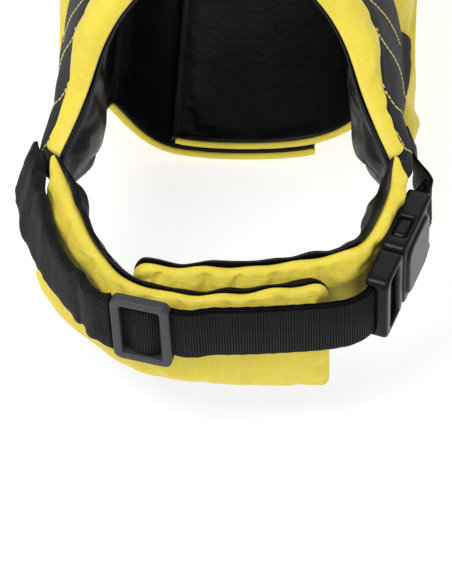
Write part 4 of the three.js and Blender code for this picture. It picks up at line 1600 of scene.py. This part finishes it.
def laid_on(tree, points, lift):
    """Points moved onto a surface, a little proud of it, all in millimetres."""
    out = []
    for p in points:
        hit = tree.find_nearest(Vector(p) * MM)
        out.append(np.array(hit[0] + hit[1] * lift * MM) / MM)
    return np.array(out)


# Operators, one for each group of pieces

def cut_area(front, rear, a0, a1):
    """Width, length and flat area of a cut on the trunk, in metres."""
    angle = np.linspace(a0, a1, 200)
    wide = abs(math.radians(a1 - a0)) * MEAN_RADIUS
    tall = rear(angle) - front(angle)
    longest = float(rear(angle).max() - front(angle).min())
    return (wide * MM, longest * MM), wide * float(tall.mean()) * MM * MM


def shell_of(settings):
    return finish_named("ripstop_shell", shell_finish, settings)


class JACKET_OT_shell(bpy.types.Operator):
    """Collar, back and side panels and belly flaps, of padded ripstop"""

    bl_idname = "jacket.shell"
    bl_label = "Padded shell"

    def execute(self, context):
        cloth = shell_of(context.scene.jacket_shell)
        for obj, node, fill in (
            (make_collar(), "collar", 0.7),
            (make_back_pad(), "back_pad", 0.7),
            (make_side_pad(1), "side_pad_right", 0.7),
            (make_side_pad(-1), "side_pad_left", 0.7),
            (make_belly_flap(1), "belly_flap_right", 0.3),
            (make_belly_flap(-1), "belly_flap_left", 0.3),
        ):
            dressed(obj, cloth, node, "shell")
        return {"FINISHED"}


class JACKET_OT_yoke(bpy.types.Operator):
    """The thinner padded yoke of knitted mesh behind the collar"""

    bl_idname = "jacket.yoke"
    bl_label = "Yoke"

    def execute(self, context):
        mesh = finish_named("yoke_mesh", yoke_finish, context.scene.jacket_yoke)
        dressed(make_yoke(), mesh, "yoke", "yoke")
        return {"FINISHED"}


class JACKET_OT_bands(bpy.types.Operator):
    """The two padded chest bands, lapped over each other"""

    bl_idname = "jacket.bands"
    bl_label = "Chest bands"

    def execute(self, context):
        cloth = shell_of(context.scene.jacket_shell)
        for side in (1, -1):
            dressed(make_band(side), cloth, sided("chest_band", side), "shell")
        return {"FINISHED"}


class JACKET_OT_linings(bpy.types.Operator):
    """Nylon linings of the body, the belly flaps and the chest bands"""

    bl_idname = "jacket.linings"
    bl_label = "Linings"

    def execute(self, context):
        cloth = finish_named("lining_nylon", lining_finish, context.scene.jacket_lining)
        flat, area = cut_area(body_front, hem, -ARM_BACK, ARM_BACK)
        flat, area = (flat[0] * BODY_EASE, flat[1]), area * BODY_EASE
        dressed(make_body_lining(), cloth, "body_lining", "lining")
        for side in (1, -1):
            flat, area = cut_area(flat_at(BELLY_FRONT_Y), hem, ARM_BACK, FLAP_END[side])
            dressed(make_belly_lining(side), cloth, sided("belly_lining", side), "lining")
        for side in (1, -1):
            band = BANDS[side]
            tall = band.tall(np.linspace(0, BAND_LAST, 200))
            long = band.length[-1] * BAND_EASE
            node = sided("chest_band", side) + "_lining"
            dressed(make_band_lining(side), cloth, node, "lining")
            float(long * tall.mean()) * MM * MM
        return {"FINISHED"}


class JACKET_OT_belt(bpy.types.Operator):
    """The neck belt and the buckle's strap, of ribbed webbing"""

    bl_idname = "jacket.belt"
    bl_label = "Neck belt"

    def execute(self, context):
        settings = context.scene.jacket_webbing
        web = finish_named("woven_webbing", webbing_finish, settings)
        # the ribs' finish is the webbing colour painted lighter, a painted highlight on the raised ribs
        ribs = finish_named("webbing_ribs", webbing_finish, settings, "webbing_ribs", True)
        for name, line, node in (
            ("neck_belt_webbing", neck_belt_line(), "neck_belt"),
            ("buckle_strap_webbing", buckle_strap_line(), "buckle_strap"),
        ):
            dressed(make_webbing(name, line), web, node, "webbing")
            lines = make_ribs(name + "_ribs", line, ribs, settings.pitch * 1000)
            dressed(lines, ribs, None, "webbing")
        return {"FINISHED"}


class JACKET_OT_sleeve(bpy.types.Operator):
    """The soft sleeve round the belt's end, sewn to the left shoulder"""

    bl_idname = "jacket.sleeve"
    bl_label = "Belt sleeve"

    def execute(self, context):
        cloth = finish_named("sleeve_cloth", sleeve_finish, context.scene.jacket_webbing)
        dressed(make_sleeve(), cloth, "belt_sleeve", "yoke")
        return {"FINISHED"}


class JACKET_OT_buckle(bpy.types.Operator):
    """The slider and both halves of the side-release buckle, moulded in plastic"""

    bl_idname = "jacket.buckle"
    bl_label = "Buckle and slider"

    def execute(self, context):
        settings = context.scene.jacket_plastic
        black = finish_named("moulded_plastic", plastic_finish, settings)
        grey = finish_named("slider_plastic", slider_finish, settings)
        place, run, _, normal = belt_place(SLIDER_D)
        slider = make_moulded("strap_slider", "slider", place, run, normal, voxel=0.3, soften=10)
        dressed(slider, grey, "slider", "plastic")
        for name, node in (("buckle_socket", "buckle_female"), ("buckle_prongs", "buckle_male")):
            half = make_moulded(name, node, BUCKLE_FROM, buckle_run, buckle_out, voxel=0.38, soften=36)
            dressed(half, black, node, "plastic")
        return {"FINISHED"}


# Where the yoke's lines leave the collar's seam, in degrees round the trunk, how far a
# line runs back and outwards, and how far a tick runs over the seam, in millimetres
YOKE_LINES = (72.5, 66, 56, 45, 33.5, 22, 11)


LINE_BACK, LINE_OUT = 22, 25
TICK_FROM, TICK_TO = -2.6, 1.0


def yoke_line(side, start):
    """One stitched line: a short tick over the collar's seam, then slanting over the yoke."""
    mm = math.radians(1) * MEAN_RADIUS
    begin = np.array([start * mm, float(collar_seam(start))])
    forward = unit(np.array([mm, float(collar_seam(start + 1) - collar_seam(start))]))
    outward = np.array([-forward[1], forward[0]])
    share = np.linspace(0, 1, 60)[:, None]
    flat = begin + outward * TICK_TO + share * (forward * LINE_BACK + outward * LINE_OUT)
    angle, y = flat[:, 0] / mm, flat[:, 1]
    inside = (angle < YOKE_END - 1) & (y < yoke_seam(angle) - 1.5)
    count = len(inside) if inside.all() else int(np.argmin(inside))
    line = trunk(y[:count], angle[:count] * side, SHELL_BASE + YOKE_PAD)
    over, aside = np.linspace(TICK_FROM, TICK_TO, 7), np.linspace(1.0, 0, 7)
    back = begin + outward * over[:, None] - forward * aside[:, None]
    tick = trunk(back[:, 1], back[:, 0] / mm * side, SHELL_BASE + YOKE_PAD + 0.5)
    return tick, line


class JACKET_OT_stitching(bpy.types.Operator):
    """The slanting lines sewn over the yoke and the collar's seam"""

    bl_idname = "jacket.stitching"
    bl_label = "Stitching"

    def execute(self, context):
        colour = context.scene.jacket_shell.line_colour
        yellow = finish_named("yellow_thread", thread_finish, "yellow_thread", colour)
        yoke = surface_of("yoke_panel", "collar_shell")
        lines = []
        for start in YOKE_LINES:
            for side in (1, -1):
                tick, line = yoke_line(side, start)
                lines.append(laid_on(yoke, line, 0.15))
                if start < NECK_END - 5:
                    lines.append(laid_on(yoke, tick, 0.45))
        stitches = make_stitches("yoke_topstitch", lines, yellow, context.scene.jacket_yoke.seed)
        dressed(stitches, yellow, None, "shell")
        return {"FINISHED"}


# The stage, in metres and watts
FLOOR_HALF, FLOOR_GAP = 6.0, 0.0005
SKY = 0.42
LIT_PLACE = Vector((0, -0.12, -0.07))
LAMPS = (
    ("key", (-0.75, -0.9, 2.3), 1.2, 44.0),
    ("fill", (0.9, -0.8, 0.7), 0.8, 1.2),
    ("back", (0.3, 1.0, 0.9), 0.9, 3.0),
)


class JACKET_OT_stage(bpy.types.Operator):
    """Pale floor, soft light and the camera of the photograph"""

    bl_idname = "jacket.stage"
    bl_label = "Stage"

    def execute(self, context):
        settings = context.scene.jacket_stage
        scene = context.scene
        scene.view_settings.view_transform = "Standard"
        z = CAD_BOX[0][2] - FLOOR_GAP
        corners = [(x, y, z) for x, y in ((-1, -1), (1, -1), (1, 1), (-1, 1))]
        mesh = bpy.data.meshes.new("floor")
        mesh.from_pydata([(x * FLOOR_HALF, y * FLOOR_HALF, z) for x, y, z in corners], [], [(0, 1, 2, 3)])
        mesh.materials.append(finish_named("pale_floor", floor_finish, settings))
        link_object("floor", mesh)

        world = bpy.data.worlds.new("room")
        scene.world = world
        world.use_nodes = True
        sky = world.node_tree.nodes["Background"]
        sky.inputs["Color"].default_value = (1, 1, 1, 1)
        sky.inputs["Strength"].default_value = SKY * settings.light

        for name, place, size, power in LAMPS:
            data = bpy.data.lights.new(name, "AREA")
            data.size, data.energy = size, power
            lamp = link_object(name, data)
            lamp.location = place
            lamp.rotation_euler = (LIT_PLACE - Vector(place)).to_track_quat("-Z", "Y").to_euler()

        data = bpy.data.cameras.new("camera")
        data.sensor_width = 36.0
        data.lens = FOCAL / FRAME_TALL * data.sensor_width
        data.clip_start, data.clip_end = 0.05, 30.0
        camera = link_object("camera", data)
        camera.matrix_world = camera_place()
        scene.camera = camera
        return {"FINISHED"}


# The photograph's frame and focal length in pixels, and the camera's place: how far it is
# turned round the jacket, lifted, rolled and away, and the point of the jacket that it
# sees at one pixel
FRAME_WIDE, FRAME_TALL, FOCAL = 452, 584, 2400.0
TURN, LIFT, ROLL, AWAY = math.radians(5), math.radians(48), math.radians(3), 0.9
SEEN, SEEN_PIXEL = np.array([0, -0.213, -0.082]), (218, 335)


def camera_place():
    """The camera as in the photograph."""
    back = np.array([math.sin(TURN) * math.cos(LIFT), -math.cos(TURN) * math.cos(LIFT), math.sin(LIFT)])
    right = np.array([math.cos(TURN), math.sin(TURN), 0])
    up = unit(np.cross(back, right))
    right, up = (right * math.cos(ROLL) - up * math.sin(ROLL),
                 right * math.sin(ROLL) + up * math.cos(ROLL))
    dx = (SEEN_PIXEL[0] - FRAME_WIDE / 2) / FOCAL * AWAY
    dy = (FRAME_TALL / 2 - SEEN_PIXEL[1]) / FOCAL * AWAY
    return matrix_of([right, up, back], SEEN + back * AWAY - right * dx - up * dy)


STEPS = (
    JACKET_OT_stage, JACKET_OT_shell, JACKET_OT_yoke, JACKET_OT_bands, JACKET_OT_linings,
    JACKET_OT_belt, JACKET_OT_sleeve, JACKET_OT_buckle, JACKET_OT_stitching,
)


class JACKET_PT_panel(bpy.types.Panel):
    """The life jacket's steps and settings"""

    bl_idname = "JACKET_PT_panel"
    bl_label = "Life Jacket"
    bl_space_type = "VIEW_3D"
    bl_region_type = "UI"
    bl_category = "Life Jacket"

    def draw(self, context):
        layout = self.layout
        for step in STEPS:
            layout.operator(step.bl_idname)
        for name, group in SETTINGS.items():
            box = layout.box()
            for key in group.__annotations__:
                box.prop(getattr(context.scene, name), key)


CLASSES = (*SETTINGS.values(), *STEPS, JACKET_PT_panel)


def register():
    for cls in CLASSES:
        bpy.utils.register_class(cls)
    for name, group in SETTINGS.items():
        setattr(bpy.types.Scene, name, PointerProperty(type=group))


def unregister():
    for name in SETTINGS:
        delattr(bpy.types.Scene, name)
    for cls in reversed(CLASSES):
        bpy.utils.unregister_class(cls)


def main():
    register()
    for step in STEPS:
        group, action = step.bl_idname.split(".")
        getattr(getattr(bpy.ops, group), action)()


if __name__ == "__main__":
    main()
